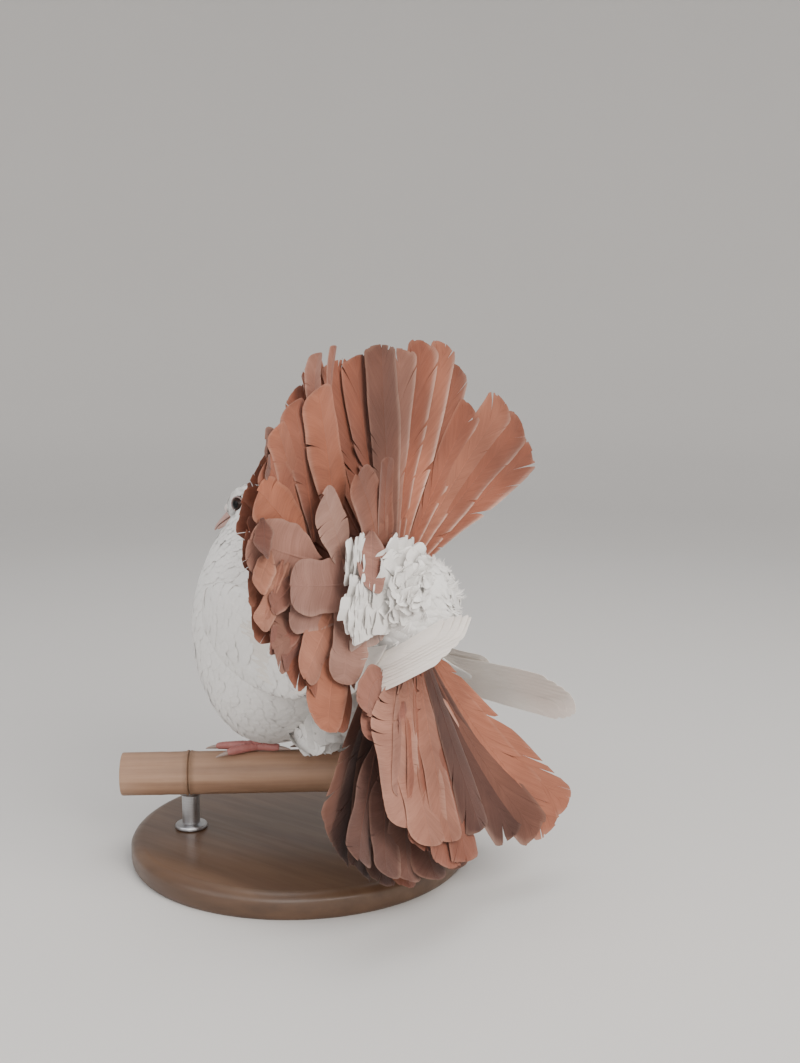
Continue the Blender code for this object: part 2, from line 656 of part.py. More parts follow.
def main():
    for obj in list(bpy.data.objects):
        bpy.data.objects.remove(obj)
    random.seed(11)
    scene = bpy.context.scene
    parts = bpy.data.collections.new("fantail_pigeon")
    tools = bpy.data.collections.new("cutters")
    loose = bpy.data.collections.new("loose_feathers")
    for group in (parts, tools, loose):
        scene.collection.children.link(group)

    torso = body_part("torso", 0.0, NECK_FROM, 20, parts)
    neck = body_part("neck", NECK_FROM, NECK_TO, 8, parts, ends=(-GAP, 0.0))
    head = body_part("head", NECK_TO, len(BODY) - 1.0, 12, parts, ends=(-GAP, 0.0))
    shell = body_part("body_shell", 0.0, len(BODY) - 1.0, 44, tools, grow=GAP, ends=(GAP, 0.0))

    eyes = []
    for side, sign in (("left", 1.0), ("right", -1.0)):
        centre = (EYE_CENTRE[0] * sign, EYE_CENTRE[1], EYE_CENTRE[2])
        rim = (sign * 12.0, EYE_CENTRE[1], EYE_CENTRE[2])
        lid = ring_pad(side + "_lid", rim, LID_RADIUS, LID_THICK, tools)
        cut(head, lid, "UNION")
        socket = ball(side + "_socket", centre, EYE_RADIUS + GAP, tools, 16, 8)
        cut(head, socket)
        eyes.append(ball(side + "_eye", centre, EYE_RADIUS, parts, 16, 8))
    keep_largest(head)

    upper_rows = (
        (8.0, -3.7, 3.2, 4.6),
        (14.0, -4.6, 2.2, 3.9),
        (20.0, -5.6, -1.0, 3.0),
        (26.0, -6.9, -3.9, 2.2),
        (31.0, -8.4, -6.6, 1.3),
        (33.5, -9.8, -8.7, 0.6),
    )
    lower_rows = (
        (8.0, -4.0, -8.2, 4.2),
        (14.0, -4.9, -8.6, 3.5),
        (20.0, -5.9, -9.0, 2.6),
        (26.0, -7.2, -9.4, 1.8),
        (30.5, -8.6, -9.8, 0.8),
    )
    bill_upper = bill_half("bill_upper", upper_rows, True, parts)
    bill_lower = bill_half("bill_lower", lower_rows, False, parts)
    for piece in (bill_upper, bill_lower):
        cut(piece, shell)
        keep_largest(piece)
    tilt = Matrix.Rotation(FACE_PITCH + math.radians(22.0), 3, "X")
    cere = ball("cere", face_point(15.4, 1.4, 1.7), 1.0, parts, 14, 8, (2.6, 4.6, 2.3), tilt)
    pad = ball("cere_right", face_point(15.4, 1.4, -1.7), 1.0, tools, 14, 8, (2.6, 4.6, 2.3), tilt)
    cut(cere, pad, "UNION", "MANIFOLD")
    grown_rows = tuple((f, e - 1.0, o + GAP, h + GAP) for f, e, o, h in upper_rows)
    swollen = bill_half("bill_grown", grown_rows, True, tools)
    cut(cere, swollen, solver="MANIFOLD")
    cut(cere, shell, solver="MANIFOLD")
    keep_largest(cere)

    wings = []
    for name, rows in (("left_wing", LEFT_WING), ("right_wing", RIGHT_WING)):
        blade = wing(name, rows, parts, 6.4)
        for tier, segments in ((FLIGHTS, 4), (SECONDARIES, 3), (WING_COVERTS, 3)):
            for row in tier:
                wing_feather("%s_feather" % name, rows, row, loose, segments)
        fuse(blade, loose)
        cut(blade, shell)
        keep_largest(blade)
        wings.append(blade)

    up = (0.309, 0.0, 0.951)
    down = (-0.309, 0.0, -0.951)
    upper = fan("tail_upper", UPPER_ROOT, UPPER_FAN, covert_rows(-8.0, 103.0, 8, (1.0, 13.0), 68.0), 4.0,
                (((0.0, 71.0, 86.0 + GAP / 2.0), down),), parts, loose, tools)
    left_low = fan("tail_lower_left", LOWER_LEFT_ROOT, LOWER_LEFT_FAN, LOWER_LEFT_OVER, 200.0,
                   (((0.0, 71.0, 86.0 - GAP / 2.0), up), ((GAP / 2.0, 71.0, 86.0), (-0.995, 0.0, 0.10))),
                   parts, loose, tools)
    right_low = fan("tail_lower_right", LOWER_RIGHT_ROOT, LOWER_RIGHT_FAN, (), -200.0,
                    (((0.0, 71.0, 86.0 - GAP / 2.0), up), ((-GAP / 2.0, 71.0, 86.0), (0.995, 0.0, -0.10))),
                    parts, loose, tools)

    turn = Matrix.Translation(at(0.0, 0.0, -PERCH_RADIUS)) @ Matrix.Rotation(PERCH_ANGLE, 4, "Z")
    turn = turn @ Matrix.Rotation(-math.pi / 2.0, 4, "X")
    pole = perch_profile(PERCH_RADIUS)
    perch = turned("perch", pole, parts, turn)
    grown = turned("perch_grown", perch_profile(PERCH_RADIUS + GAP), tools, turn)

    feet = []
    claws = []
    left = foot("left", -FOOT_ALONG, (-18.0, 22.0, -52.0, 168.0), (25.0, 18.0, 18.0, 13.0), None, parts, loose)
    right = foot("right", FOOT_ALONG, (-18.0, -52.0, 22.0, 168.0), (25.0, 18.0, 18.0, 13.0), None, parts, loose)
    for base, nails in (left, right):
        feet.append(base)
        claws.extend(nails)
    hollow = turned("belly_rest", [(0.0, -60.0), (PERCH_RADIUS + 5.4, -60.0), (PERCH_RADIUS + 5.4, 60.0),
                                   (0.0, 60.0)], tools, turn)
    cut(torso, hollow)
    legs = []
    for side, origin, lean in (("left", -FOOT_ALONG, 1.0), ("right", FOOT_ALONG, -1.0)):
        hub = perch_point(origin, 0.0, PERCH_RADIUS + GAP + 3.4)
        foot_top = (hub[0], hub[1], hub[2] + 3.2 + GAP)
        knee = (hub[0], hub[1], hub[2] + 5.5)
        shank = (hub[0] + 2.0 * lean, hub[1] + 9.0, hub[2] + 22.0)
        beyond = (shank[0] + 0.03 * lean, shank[1] + 0.12, shank[2] + GAP)
        leg = tube(side + "_leg", [foot_top, knee, shank], [2.6, 2.7, 3.2], parts)
        socket = tube(side + "_leg_socket", [(hub[0], hub[1], hub[2] - 4.0), foot_top, knee, beyond],
                      [3.6, 3.2, 3.1, 3.6], tools)
        cut(torso, socket)
        legs.append(leg)
    keep_largest(torso)

    base = turned("stand_base", (
        (0.0, BASE_THICK), (BASE_RADIUS - 6.0, BASE_THICK), (BASE_RADIUS - 2.5, BASE_THICK - 1.2),
        (BASE_RADIUS, BASE_THICK - 4.0), (BASE_RADIUS, 3.0), (BASE_RADIUS - 1.5, 0.0), (0.0, 0.0),
    ), parts, Matrix.Identity(4), 48)
    rods = []
    for name, along in (("stand_rod_front", ROD_FRONT), ("stand_rod_rear", ROD_REAR)):
        foot_at = perch_point(along, 0.0, 0.0)
        low_z = BASE_THICK + GAP - PERCH_TOP
        rod = tube(name, [(foot_at[0], foot_at[1], low_z), (foot_at[0], foot_at[1], -PERCH_RADIUS)],
                   [ROD_RADIUS, ROD_RADIUS], parts, 4)
        cut(rod, grown)
        keep_largest(rod)
        rods.append(rod)

    finish = (
        ("white", 0.85, [torso, neck, head, cere]),
        ("cream", 0.80, wings),
        ("rust", 0.80, [upper, left_low, right_low]),
        ("eye", 0.12, eyes),
        ("bill", 0.55, [bill_upper, bill_lower]),
        ("pink", 0.60, feet + legs),
        ("horn", 0.50, claws),
        ("bamboo", 0.60, [perch]),
        ("wood", 0.45, [base]),
        ("steel", 0.35, rods),
    )
    for key, roughness, pieces in finish:
        for piece in pieces:
            piece.data.materials.clear()
            piece.data.materials.append(make_material(piece.name + "_finish", COLOURS[key], roughness))
    for tool in tools.objects:
        tool.hide_render = True
        tool.display_type = "WIRE"


def perch_profile(radius):
    """Outline of a length of bamboo with two joints."""
    rows = [(0.0, PERCH_START), (radius - 0.8, PERCH_START), (radius, PERCH_START + 0.8)]
    for joint in (-62.0, 44.0):
        rows += [(radius, joint - 5.0), (radius + 0.25, joint - 2.0), (radius + 0.9, joint - 0.8),
                 (radius - 0.1, joint), (radius + 0.7, joint + 0.9), (radius + 0.2, joint + 2.4),
                 (radius, joint + 5.0)]
    rows += [(radius, PERCH_END - 0.8), (radius - 0.8, PERCH_END), (0.0, PERCH_END)]
    return rows


main()
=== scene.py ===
"""Looks of a fantail pigeon with a raised rust-coloured fan, on a bamboo perch and a small wooden stand.

The bird looks along -Y with +Z up and its left side at +X.  Its shapes are worked out in
millimetres from the middle of the perch's upper line and stored in metres above the floor.
"""
import math

import bmesh
import bpy
import numpy as np
from mathutils import Matrix, Vector


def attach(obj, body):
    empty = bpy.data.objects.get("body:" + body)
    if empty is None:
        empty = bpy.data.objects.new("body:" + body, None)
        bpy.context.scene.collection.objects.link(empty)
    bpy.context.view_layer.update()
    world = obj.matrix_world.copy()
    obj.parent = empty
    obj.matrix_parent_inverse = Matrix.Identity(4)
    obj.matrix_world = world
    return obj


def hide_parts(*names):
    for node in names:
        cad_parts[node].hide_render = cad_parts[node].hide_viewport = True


bl_info = {
    "name": "Fantail Pigeon",
    "version": (1, 0, 0),
    "blender": (4, 5, 0),
    "location": "View3D > Sidebar > Pigeon",
    "description": "Feathers, skin, perch and stand of a life-size fantail pigeon",
    "category": "Object",
}

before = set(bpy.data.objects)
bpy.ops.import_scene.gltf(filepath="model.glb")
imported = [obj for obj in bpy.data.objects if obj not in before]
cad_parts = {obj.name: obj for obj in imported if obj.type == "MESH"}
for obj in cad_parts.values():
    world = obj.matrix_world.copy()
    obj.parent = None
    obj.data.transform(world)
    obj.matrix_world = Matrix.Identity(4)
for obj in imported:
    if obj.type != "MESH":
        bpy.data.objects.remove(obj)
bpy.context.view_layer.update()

MM = 0.001
BODY_NAME = "root"
PERCH_TOP = 58.0
PERCH_RADIUS = 12.0
PERCH_START = -100.0
PERCH_END = 85.0
PERCH_ANGLE = math.radians(40.0)
BASE_RADIUS = 95.0
BASE_THICK = 14.0
ROD_RADIUS = 5.0
ROD_FRONT = -62.0
ROD_REAR = 50.0
EYE_CENTRE = (8.8, -34.0, 139.0)
EYE_RADIUS = 5.0
FACE_PITCH = math.radians(16.0)
FOOT_ALONG = 24.0
TOE_RADIUS = 2.3
GAP = 0.3

UPPER_ROOT = (5.0, 70.0, 100.0)
LOWER_LEFT_ROOT = (3.0, 71.0, 95.0)
LOWER_RIGHT_ROOT = (0.0, 71.0, 95.0)

# back Y, back Z, belly Y, belly Z, half width; from the rump to the face
BODY = (
    (66.0, 99.5, 63.5, 70.0, 22.0),
    (54.0, 102.0, 50.0, 51.0, 31.0),
    (38.0, 103.0, 32.0, 29.0, 42.0),
    (23.0, 104.0, 10.0, 11.0, 50.0),
    (11.0, 106.0, -14.0, 3.5, 53.5),
    (2.0, 109.0, -34.0, 14.0, 53.0),
    (-4.0, 113.0, -49.0, 37.0, 50.0),
    (-8.0, 118.0, -57.0, 63.0, 44.5),
    (-11.0, 124.0, -59.0, 86.0, 36.0),
    (-14.0, 130.0, -57.5, 104.0, 27.0),
    (-17.0, 138.0, -53.5, 115.0, 20.5),
    (-20.0, 145.0, -49.0, 121.0, 15.5),
    (-25.0, 149.5, -45.0, 124.5, 13.0),
    (-32.0, 151.0, -44.0, 126.5, 12.2),
    (-40.0, 149.0, -46.0, 127.8, 10.8),
    (-45.5, 144.5, -47.5, 128.3, 8.2),
    (-48.5, 138.5, -48.0, 129.5, 4.8),
)
# back Y, back Z, belly Y, belly Z, half width of the downy tail root
TAIL_ROOT = (
    (66.0, 99.5, 63.5, 70.0, 22.0),
    (68.0, 119.0, 70.0, 66.0, 25.0),
    (80.0, 121.0, 79.0, 64.0, 28.0),
    (92.0, 117.0, 90.0, 69.0, 25.0),
    (100.0, 108.0, 98.0, 76.0, 17.0),
    (103.0, 98.0, 102.0, 85.0, 6.0),
)
TAIL_ROOT_LEAN = 5.0
# centre X, Y, Z, half thickness, half height, roll of the folded wing
LEFT_WING = (
    (43.0, -30.0, 86.0, 2.5, 5.0, 0.0),
    (46.0, -23.0, 84.0, 5.0, 15.0, 0.0),
    (49.0, -8.0, 80.0, 6.5, 23.0, 0.0),
    (49.5, 12.0, 75.0, 7.5, 25.0, 0.0),
    (48.5, 34.0, 70.0, 7.0, 22.0, -8.0),
    (45.5, 56.0, 66.0, 4.6, 16.0, -24.0),
    (41.5, 77.0, 64.5, 3.0, 12.5, -40.0),
    (41.5, 94.0, 70.0, 3.0, 12.5, -38.0),
    (39.0, 112.0, 81.0, 2.4, 12.0, -34.0),
    (34.0, 128.0, 92.0, 1.8, 9.5, -30.0),
    (31.0, 136.0, 97.0, 1.2, 5.0, -30.0),
)
RIGHT_WING = (
    (-43.0, -30.0, 82.0, 2.5, 5.0, 0.0),
    (-46.0, -23.0, 79.0, 5.0, 15.0, 0.0),
    (-49.5, -8.0, 73.0, 6.5, 23.0, 0.0),
    (-51.0, 12.0, 65.0, 7.5, 25.0, 0.0),
    (-51.0, 34.0, 56.0, 7.0, 21.0, 6.0),
    (-50.5, 56.0, 48.5, 4.6, 15.0, 16.0),
    (-50.0, 76.0, 45.0, 3.6, 12.5, 24.0),
    (-48.0, 100.0, 44.5, 3.0, 11.5, 26.0),
    (-45.0, 124.0, 44.5, 2.4, 9.5, 26.0),
    (-42.0, 144.0, 44.0, 1.8, 6.5, 26.0),
    (-40.5, 153.0, 44.0, 1.2, 3.5, 26.0),
)

# joints of the bamboo along the pole
POLE_JOINTS = (-62.0, 44.0)
PER_MM = 1000.0
# least share of the wanted distance between two places, and the cells looked at round each
CLOSEST = 0.80
NEIGHBOURS = [(dx, dy, dz) for dx in (-1, 0, 1) for dy in (-1, 0, 1) for dz in (-1, 0, 1)]
# where a feather starts to round off, and how far a split opens between two clumps of barbs
TIP_FROM = 0.78
SPLIT_OPEN = 0.45
# share of the width where a painted edge highlight starts
EDGE_HIGHLIGHT_FROM = 0.62
VANE_THICK = 0.34
# distance from the fan's root to the feather's own start, and the tilt of each side feather
FAN_START = 9.0
FAN_TILT = 10.0
# depth of a small feather's root in the skin, and half its patch in the bake map
ROOT_DEPTH = 1.0
PATCH = 0.0015
WING_END = 6.4
CAMERA_PLACE = (0.5290, 0.4639, 0.2848)
CAMERA_AIM = (-0.7941, -0.5905, -0.1435)
CAMERA_LENS = 43.46
SENSOR_WIDTH = 36.0
LIGHT_TARGET = (0.0, 0.03, 0.15)
WORLD_STRENGTH = 0.55

# feather tints
RUST = (0.300, 0.088, 0.044)
RUST_LIGHT = (0.400, 0.140, 0.078)
RUST_DARK = (0.150, 0.055, 0.033)
RUST_GREY = (0.310, 0.140, 0.098)
# near-black rust tint that paints the shade in hollows and gaps between tail feathers
RUST_PAINTED_SHADE = (0.048, 0.015, 0.010)
CREAM = (0.80, 0.745, 0.69)
WHITE = (0.80, 0.78, 0.755)
FOOT_PINK = (0.36, 0.120, 0.108)
# pale colour of the painted highlights along one edge of some rust feathers
EDGE_HIGHLIGHT_TINT = np.array((0.72, 0.50, 0.41))

# angle from upright toward the bird's left, rearward sweep, length, width, bend, curl, set back, tint
UPPER_FAN = (
    (-63.0, 2.0, 144.0, 22.0, -4.0, 4.0, 0.0, RUST),
    (-55.0, 2.0, 142.0, 26.0, -4.0, 4.0, 0.0, RUST),
    (-47.0, 1.0, 138.0, 26.0, -4.0, 4.0, 0.0, RUST_LIGHT),
    (-38.0, 0.0, 118.0, 20.0, -4.0, 4.0, 0.0, RUST),
    (-29.0, -1.0, 132.0, 24.0, 0.0, 5.0, 0.0, RUST),
    (-21.0, -1.0, 137.0, 24.0, 0.0, 5.0, 0.0, RUST_LIGHT),
    (-13.0, -1.0, 133.0, 24.0, 0.0, 5.0, 0.0, RUST),
    (-5.0, -2.0, 126.0, 24.0, 0.0, 5.0, 0.0, RUST_GREY),
    (4.0, -2.0, 128.0, 28.0, 0.0, 5.0, 2.5, RUST_DARK),
    (12.0, -2.0, 125.0, 26.0, -4.0, 5.0, 0.0, RUST),
    (19.0, -2.0, 127.0, 24.0, -6.0, 5.0, 0.0, RUST),
    (26.0, -2.0, 133.0, 18.0, -8.0, 5.0, 0.0, RUST_LIGHT),
    (33.0, -2.0, 128.0, 22.0, -12.0, 5.0, 0.0, RUST),
    (40.0, -2.0, 122.0, 26.0, -18.0, 5.0, 0.0, RUST),
    (47.0, -2.0, 123.0, 26.0, -18.0, 5.0, 0.0, RUST_LIGHT),
    (55.0, -1.0, 124.0, 26.0, -16.0, 5.0, 0.0, RUST),
    (62.0, -1.0, 124.0, 26.0, -12.0, 5.0, 0.0, RUST),
    (70.0, 1.0, 124.0, 26.0, -6.0, 5.0, 0.0, RUST),
    (78.0, 3.0, 121.0, 26.0, 0.0, 5.0, 0.0, RUST_LIGHT),
    (86.0, 5.0, 118.0, 26.0, 2.0, 5.0, 0.0, RUST),
    (94.0, 7.0, 113.0, 26.0, 6.0, 6.0, 0.0, RUST_GREY),
    (102.0, 9.0, 104.0, 24.0, 12.0, 8.0, 0.0, RUST),
    (110.0, 10.0, 96.0, 24.0, 20.0, 8.0, 0.0, RUST),
    (118.0, 11.0, 90.0, 26.0, 30.0, 8.0, 0.0, RUST),
    (126.0, 11.0, 96.0, 26.0, 38.0, 8.0, 0.0, RUST),
)
# the near-black tints of the rows at 141, 147.5 and 154.5 degrees are painted shade of the hollow between the
# two layers; the one at 176 degrees is painted shade of the gap beside the right group
LOWER_LEFT_FAN = (
    (135.0, 11.0, 134.0, 26.0, -26.0, 12.0, 0.0, RUST_DARK),
    (141.0, 12.0, 139.0, 29.0, -22.0, 14.0, 0.0, RUST_PAINTED_SHADE),
    (147.5, 13.0, 143.0, 30.0, -14.0, 14.0, 0.0, RUST_PAINTED_SHADE),
    (154.5, 14.0, 145.0, 30.0, -8.0, 14.0, 0.0, RUST_PAINTED_SHADE),
    (162.0, 15.0, 145.0, 26.0, -4.0, 12.0, 0.0, RUST),
    (170.0, 16.0, 140.0, 24.0, 0.0, 10.0, 0.0, RUST),
    (144.0, 21.0, 114.0, 30.0, -6.0, -4.0, 5.0, RUST_GREY),
    (152.0, 22.0, 131.0, 33.0, -4.0, -4.0, 5.0, RUST),
    (160.0, 23.0, 138.0, 34.0, 0.0, -4.0, 5.0, RUST),
    (168.0, 24.0, 136.0, 30.0, 2.0, -4.0, 5.0, RUST),
    (176.0, 24.0, 124.0, 24.0, 4.0, -4.0, 5.0, RUST_PAINTED_SHADE),
)
# the near-black tints at -178.5 and -172.2 degrees and the dark tint at -166 degrees are painted shade in the
# gap between the curled front plates and this bundle
LOWER_RIGHT_FAN = (
    (-178.5, 25.0, 112.0, 24.0, 13.0, 4.0, 0.0, RUST_PAINTED_SHADE),
    (-172.2, 27.0, 136.0, 26.0, 20.0, 4.0, 0.0, RUST_PAINTED_SHADE),
    (-166.0, 28.0, 143.0, 26.0, 22.0, 4.0, 0.0, RUST_DARK),
    (-160.0, 29.0, 146.0, 26.0, 22.0, 4.0, 0.0, RUST_LIGHT),
    (-154.0, 29.0, 144.0, 22.0, 22.0, 4.0, 0.0, RUST_LIGHT),
)
# shorter feathers over the fan: base, tip, width, sideways bow, rearward curl, lean, blunt tip share, tint
SECOND_TIER = (
    ((62.0, 79.0, 136.0), (78.0, 77.0, 208.0), 26.0, -2.0, 2.0, 6.0, 0.6, (0.400, 0.130, 0.066)),
    ((77.0, 78.0, 136.0), (92.0, 75.0, 202.0), 21.0, -2.0, 2.0, 8.0, 0.6, (0.330, 0.105, 0.056)),
    ((82.0, 78.0, 134.0), (105.0, 76.0, 191.0), 20.0, -2.0, 2.0, 8.0, 0.6, (0.370, 0.125, 0.067)),
    ((84.0, 79.0, 131.0), (112.0, 77.0, 177.0), 21.0, -2.0, 1.0, 6.0, 0.7, (0.330, 0.105, 0.056)),
    ((84.0, 80.0, 130.0), (119.0, 78.0, 164.0), 24.0, -2.0, 1.0, 4.0, 0.8, (0.420, 0.135, 0.065)),
    ((27.0, 82.0, 114.0), (31.0, 82.0, 173.0), 14.0, 1.0, 1.0, 8.0, 0.6, (0.230, 0.078, 0.045)),
    ((34.0, 83.0, 116.0), (59.0, 84.0, 167.0), 26.0, -5.0, 2.0, 8.0, 0.9, (0.290, 0.105, 0.062)),
    ((60.0, 82.0, 118.0), (83.0, 83.0, 160.0), 21.0, -3.0, 2.0, 6.0, 0.9, (0.420, 0.240, 0.185)),
    ((78.0, 82.0, 127.0), (124.0, 81.0, 143.0), 27.0, 1.0, -1.0, -4.0, 0.8, (0.400, 0.195, 0.145)),
    ((113.0, 83.0, 137.0), (125.0, 82.0, 121.0), 13.0, 1.0, 1.0, 4.0, 0.6, (0.460, 0.190, 0.115)),
    ((118.0, 83.0, 152.0), (124.0, 82.0, 136.0), 10.0, 3.0, 4.0, 22.0, 0.7, (0.150, 0.052, 0.034)),
    ((102.0, 84.0, 130.0), (123.0, 82.0, 104.0), 12.0, 1.0, 1.0, 4.0, 0.5, (0.450, 0.200, 0.130)),
    ((106.0, 84.0, 132.0), (119.0, 82.0, 107.0), 10.0, 1.0, 1.0, 6.0, 0.5, (0.380, 0.150, 0.095)),
    ((94.0, 84.0, 124.0), (116.0, 83.0, 112.0), 12.0, 1.0, 1.0, 6.0, 0.6, (0.250, 0.100, 0.070)),
    ((42.0, 82.0, 112.0), (108.0, 86.0, 121.0), 26.0, 1.0, 2.0, 5.0, 0.9, (0.340, 0.175, 0.135)),
    ((42.0, 80.0, 104.0), (105.0, 83.0, 108.0), 20.0, 1.0, 1.0, 5.0, 0.9, (0.350, 0.185, 0.145)),
    ((88.0, 82.0, 100.0), (118.0, 81.0, 97.0), 13.0, 2.0, 3.0, 8.0, 0.6, (0.300, 0.105, 0.072)),
    ((84.0, 82.0, 98.0), (110.0, 81.0, 86.0), 14.0, 2.0, 2.0, 8.0, 0.6, (0.240, 0.092, 0.066)),
    ((90.0, 77.0, 178.0), (113.0, 75.0, 186.0), 14.0, 0.0, 5.0, 10.0, 0.8, (0.170, 0.075, 0.050)),
    ((92.0, 78.0, 166.0), (115.0, 76.0, 175.0), 11.0, 0.0, 4.0, 8.0, 0.7, (0.150, 0.062, 0.044)),
    ((70.0, 73.0, 188.0), (72.0, 71.0, 224.0), 12.0, 0.0, 3.0, 6.0, 0.5, (0.320, 0.145, 0.105)),
    ((60.0, 73.0, 196.0), (58.0, 71.0, 227.0), 5.0, 0.0, 1.0, 4.0, 0.4, (0.280, 0.115, 0.080)),
    ((54.0, 80.0, 106.0), (87.0, 89.0, 48.0), 31.0, -2.0, 2.0, 4.0, 1.5, (0.420, 0.148, 0.080)),
    ((64.0, 82.0, 108.0), (100.0, 86.0, 76.0), 22.0, 1.0, 2.0, 4.0, 1.1, (0.430, 0.175, 0.108)),
    ((52.0, 84.0, 108.0), (72.0, 88.0, 68.0), 28.0, -1.0, 1.0, 2.0, 0.9, (0.360, 0.195, 0.150)),
    ((44.0, 86.0, 138.0), (56.0, 92.0, 110.0), 22.0, 1.0, 1.0, 4.0, 0.9, (0.390, 0.190, 0.145)),
    # grey-pink feather set behind the white fluff as painted shade below it
    ((22.0, 84.0, 94.0), (66.0, 86.0, 88.0), 17.0, 1.0, 1.0, 4.0, 0.9, (0.500, 0.370, 0.325)),
)
# broad and curled feathers of the lower groups; the five darkest carry painted shade
LOWER_TIER = (
    ((36.0, 94.0, 66.0), (72.0, 123.0, 4.0), 34.0, -2.0, 3.0, 8.0, 0.7, (0.430, 0.200, 0.140)),
    ((27.0, 95.0, 65.0), (58.0, 126.0, -9.0), 36.0, -1.0, 3.0, 5.0, 0.6, (0.440, 0.190, 0.125)),
    ((18.0, 96.0, 62.0), (40.0, 127.0, -12.0), 22.0, 0.0, 3.0, 2.0, 0.6, (0.410, 0.165, 0.105)),
    ((40.0, 92.0, 66.0), (70.0, 97.0, 54.0), 17.0, -5.0, 4.0, 16.0, 0.9, (0.300, 0.118, 0.080)),
    ((45.0, 94.0, 62.0), (67.0, 99.0, 40.0), 15.0, -3.0, 4.0, 14.0, 0.9, (0.320, 0.135, 0.095)),
    ((38.0, 101.0, 54.0), (47.0, 107.0, 32.0), 13.0, 0.0, 1.0, 4.0, 0.5, (0.330, 0.120, 0.085)),
    # dark tints: partly the feathers' own mid-dark brown, partly painted shade of the hollow behind the front
    # plates
    ((56.0, 98.0, 36.0), (97.0, 111.0, -6.0), 22.0, 2.0, 5.0, 6.0, 0.45, (0.105, 0.046, 0.034)),
    ((48.0, 100.0, 30.0), (80.0, 113.0, -19.0), 24.0, 1.0, 6.0, 5.0, 0.45, (0.130, 0.058, 0.043)),
    ((38.0, 101.0, 26.0), (62.0, 115.0, -27.0), 26.0, 1.0, 5.0, 4.0, 0.4, (0.160, 0.072, 0.052)),
    ((28.0, 102.0, 22.0), (44.0, 116.0, -33.0), 26.0, 0.0, 6.0, 4.0, 0.4, (0.130, 0.058, 0.043)),
    ((16.0, 102.0, 20.0), (22.0, 117.0, -34.0), 22.0, 0.0, 5.0, 4.0, 0.45, (0.130, 0.056, 0.040)),
)
# base, tip and width of the white coverts that reach out between the rust feathers
WHITE_TUFTS = (
    ((46.0, 86.0, 128.0), (73.0, 89.0, 132.0), 10.0),
    ((48.0, 87.0, 122.0), (70.0, 90.0, 124.0), 9.0),
    ((32.0, 90.0, 99.0), (77.0, 92.0, 102.0), 17.0),
    ((36.0, 91.0, 106.0), (70.0, 92.0, 110.0), 12.0),
    ((36.0, 91.0, 94.0), (71.0, 92.0, 93.0), 12.0),
)
# number of coverts in a ring, share of its full reach, and Y of its middle
COVERT_RINGS = (
    (20, 1.0, 89.0),
    (20, 0.86, 93.0),
    (18, 0.70, 96.5),
    (15, 0.54, 99.0),
    (12, 0.38, 101.0),
    (7, 0.22, 102.5),
)


def blend(rows, u):
    """Smooth columns of the rows at row positions u."""
    table = np.asarray(rows, float)
    u = np.asarray(u, float)
    last = len(table) - 1
    i = np.clip(u.astype(int), 0, last - 1)
    t = (u - i)[..., None]
    a = table[np.maximum(i - 1, 0)]
    b = table[i]
    c = table[i + 1]
    d = table[np.minimum(i + 2, last)]
    return 0.5 * (2.0 * b + (c - a) * t + (2.0 * a - 5.0 * b + 4.0 * c - d) * t ** 2
                  + (3.0 * (b - c) + d - a) * t ** 3)


def unit(vectors):
    return vectors / np.maximum(np.linalg.norm(vectors, axis=-1, keepdims=True), 1e-9)


def metres(points):
    """Bird millimetres to metres above the floor."""
    return (np.asarray(points, float) + np.array((0.0, 0.0, PERCH_TOP))) * MM


def oval(rows, u, angle, grow):
    """Point of the oval section u of a body loft."""
    row = blend(rows, u)
    zero = np.zeros_like(row[..., 0])
    back = np.stack((zero, row[..., 0], row[..., 1]), -1)
    belly = np.stack((zero, row[..., 2], row[..., 3]), -1)
    rise = (back - belly) / 2.0
    reach = np.linalg.norm(rise, axis=-1)[..., None]
    cross = np.cos(angle)
    climb = np.sin(angle)
    wide = np.sign(cross) * np.abs(cross) ** 0.94
    tall = np.sign(climb) * np.abs(climb) ** 0.94
    side = np.zeros_like(back)
    side[..., 0] = (row[..., 4] + grow) * wide
    point = (back + belly) / 2.0 + side + rise / reach * (reach + grow) * tall[..., None]
    normal = np.stack((zero, rise[..., 2], -rise[..., 1]), -1)
    return point, unit(normal), (back + belly) / 2.0


def closed_oval(rows, t, angle, grow, caps, bulges):
    """Point of a loft closed by rounded ends; t runs from 0 to 1."""
    t = np.asarray(t, float)
    angle = np.asarray(angle, float)
    low, high = caps
    u = np.clip((t - low) / (1.0 - low - high), 0.0, 1.0) * (len(rows) - 1)
    point, normal, middle = oval(rows, u, angle, grow)
    start = np.clip((low - t) / low, 0.0, 1.0)
    end = np.clip((t - 1.0 + high) / high, 0.0, 1.0)
    # the section's normal points to the rear, so the first end goes out along it and the last against it
    shrink = np.cos(np.maximum(start, end) * math.pi / 2.0)[..., None]
    push = (np.sin(start * math.pi / 2.0) * bulges[0] - np.sin(end * math.pi / 2.0) * bulges[1])[..., None]
    return middle + (point - middle) * shrink + normal * push


def body_place(t, angle, grow=0.0):
    return closed_oval(BODY, t, angle, grow, (0.05, 0.04), (7.0, 2.5))


def root_place(t, angle, grow=0.0):
    point = closed_oval(TAIL_ROOT, t, angle, grow, (0.04, 0.10), (-2.0, -3.0))
    lean = np.zeros_like(point)
    lean[..., 0] = TAIL_ROOT_LEAN * np.clip(np.asarray(t) * 5.0, 0.0, 1.0)
    return point + lean


def wing_frame(rows, u):
    """Centre, outward axis, upward axis and half sizes of the wing's section."""
    row = blend(rows, u)
    turn = np.radians(row[..., 5])
    zero = np.zeros_like(turn)
    sign = math.copysign(1.0, rows[3][0])
    out = np.stack((np.cos(turn), zero, -np.sin(turn)), -1) * sign
    rise = np.stack((np.sin(turn), zero, np.cos(turn)), -1)
    return row[..., :3], out, rise, row[..., 3], row[..., 4]


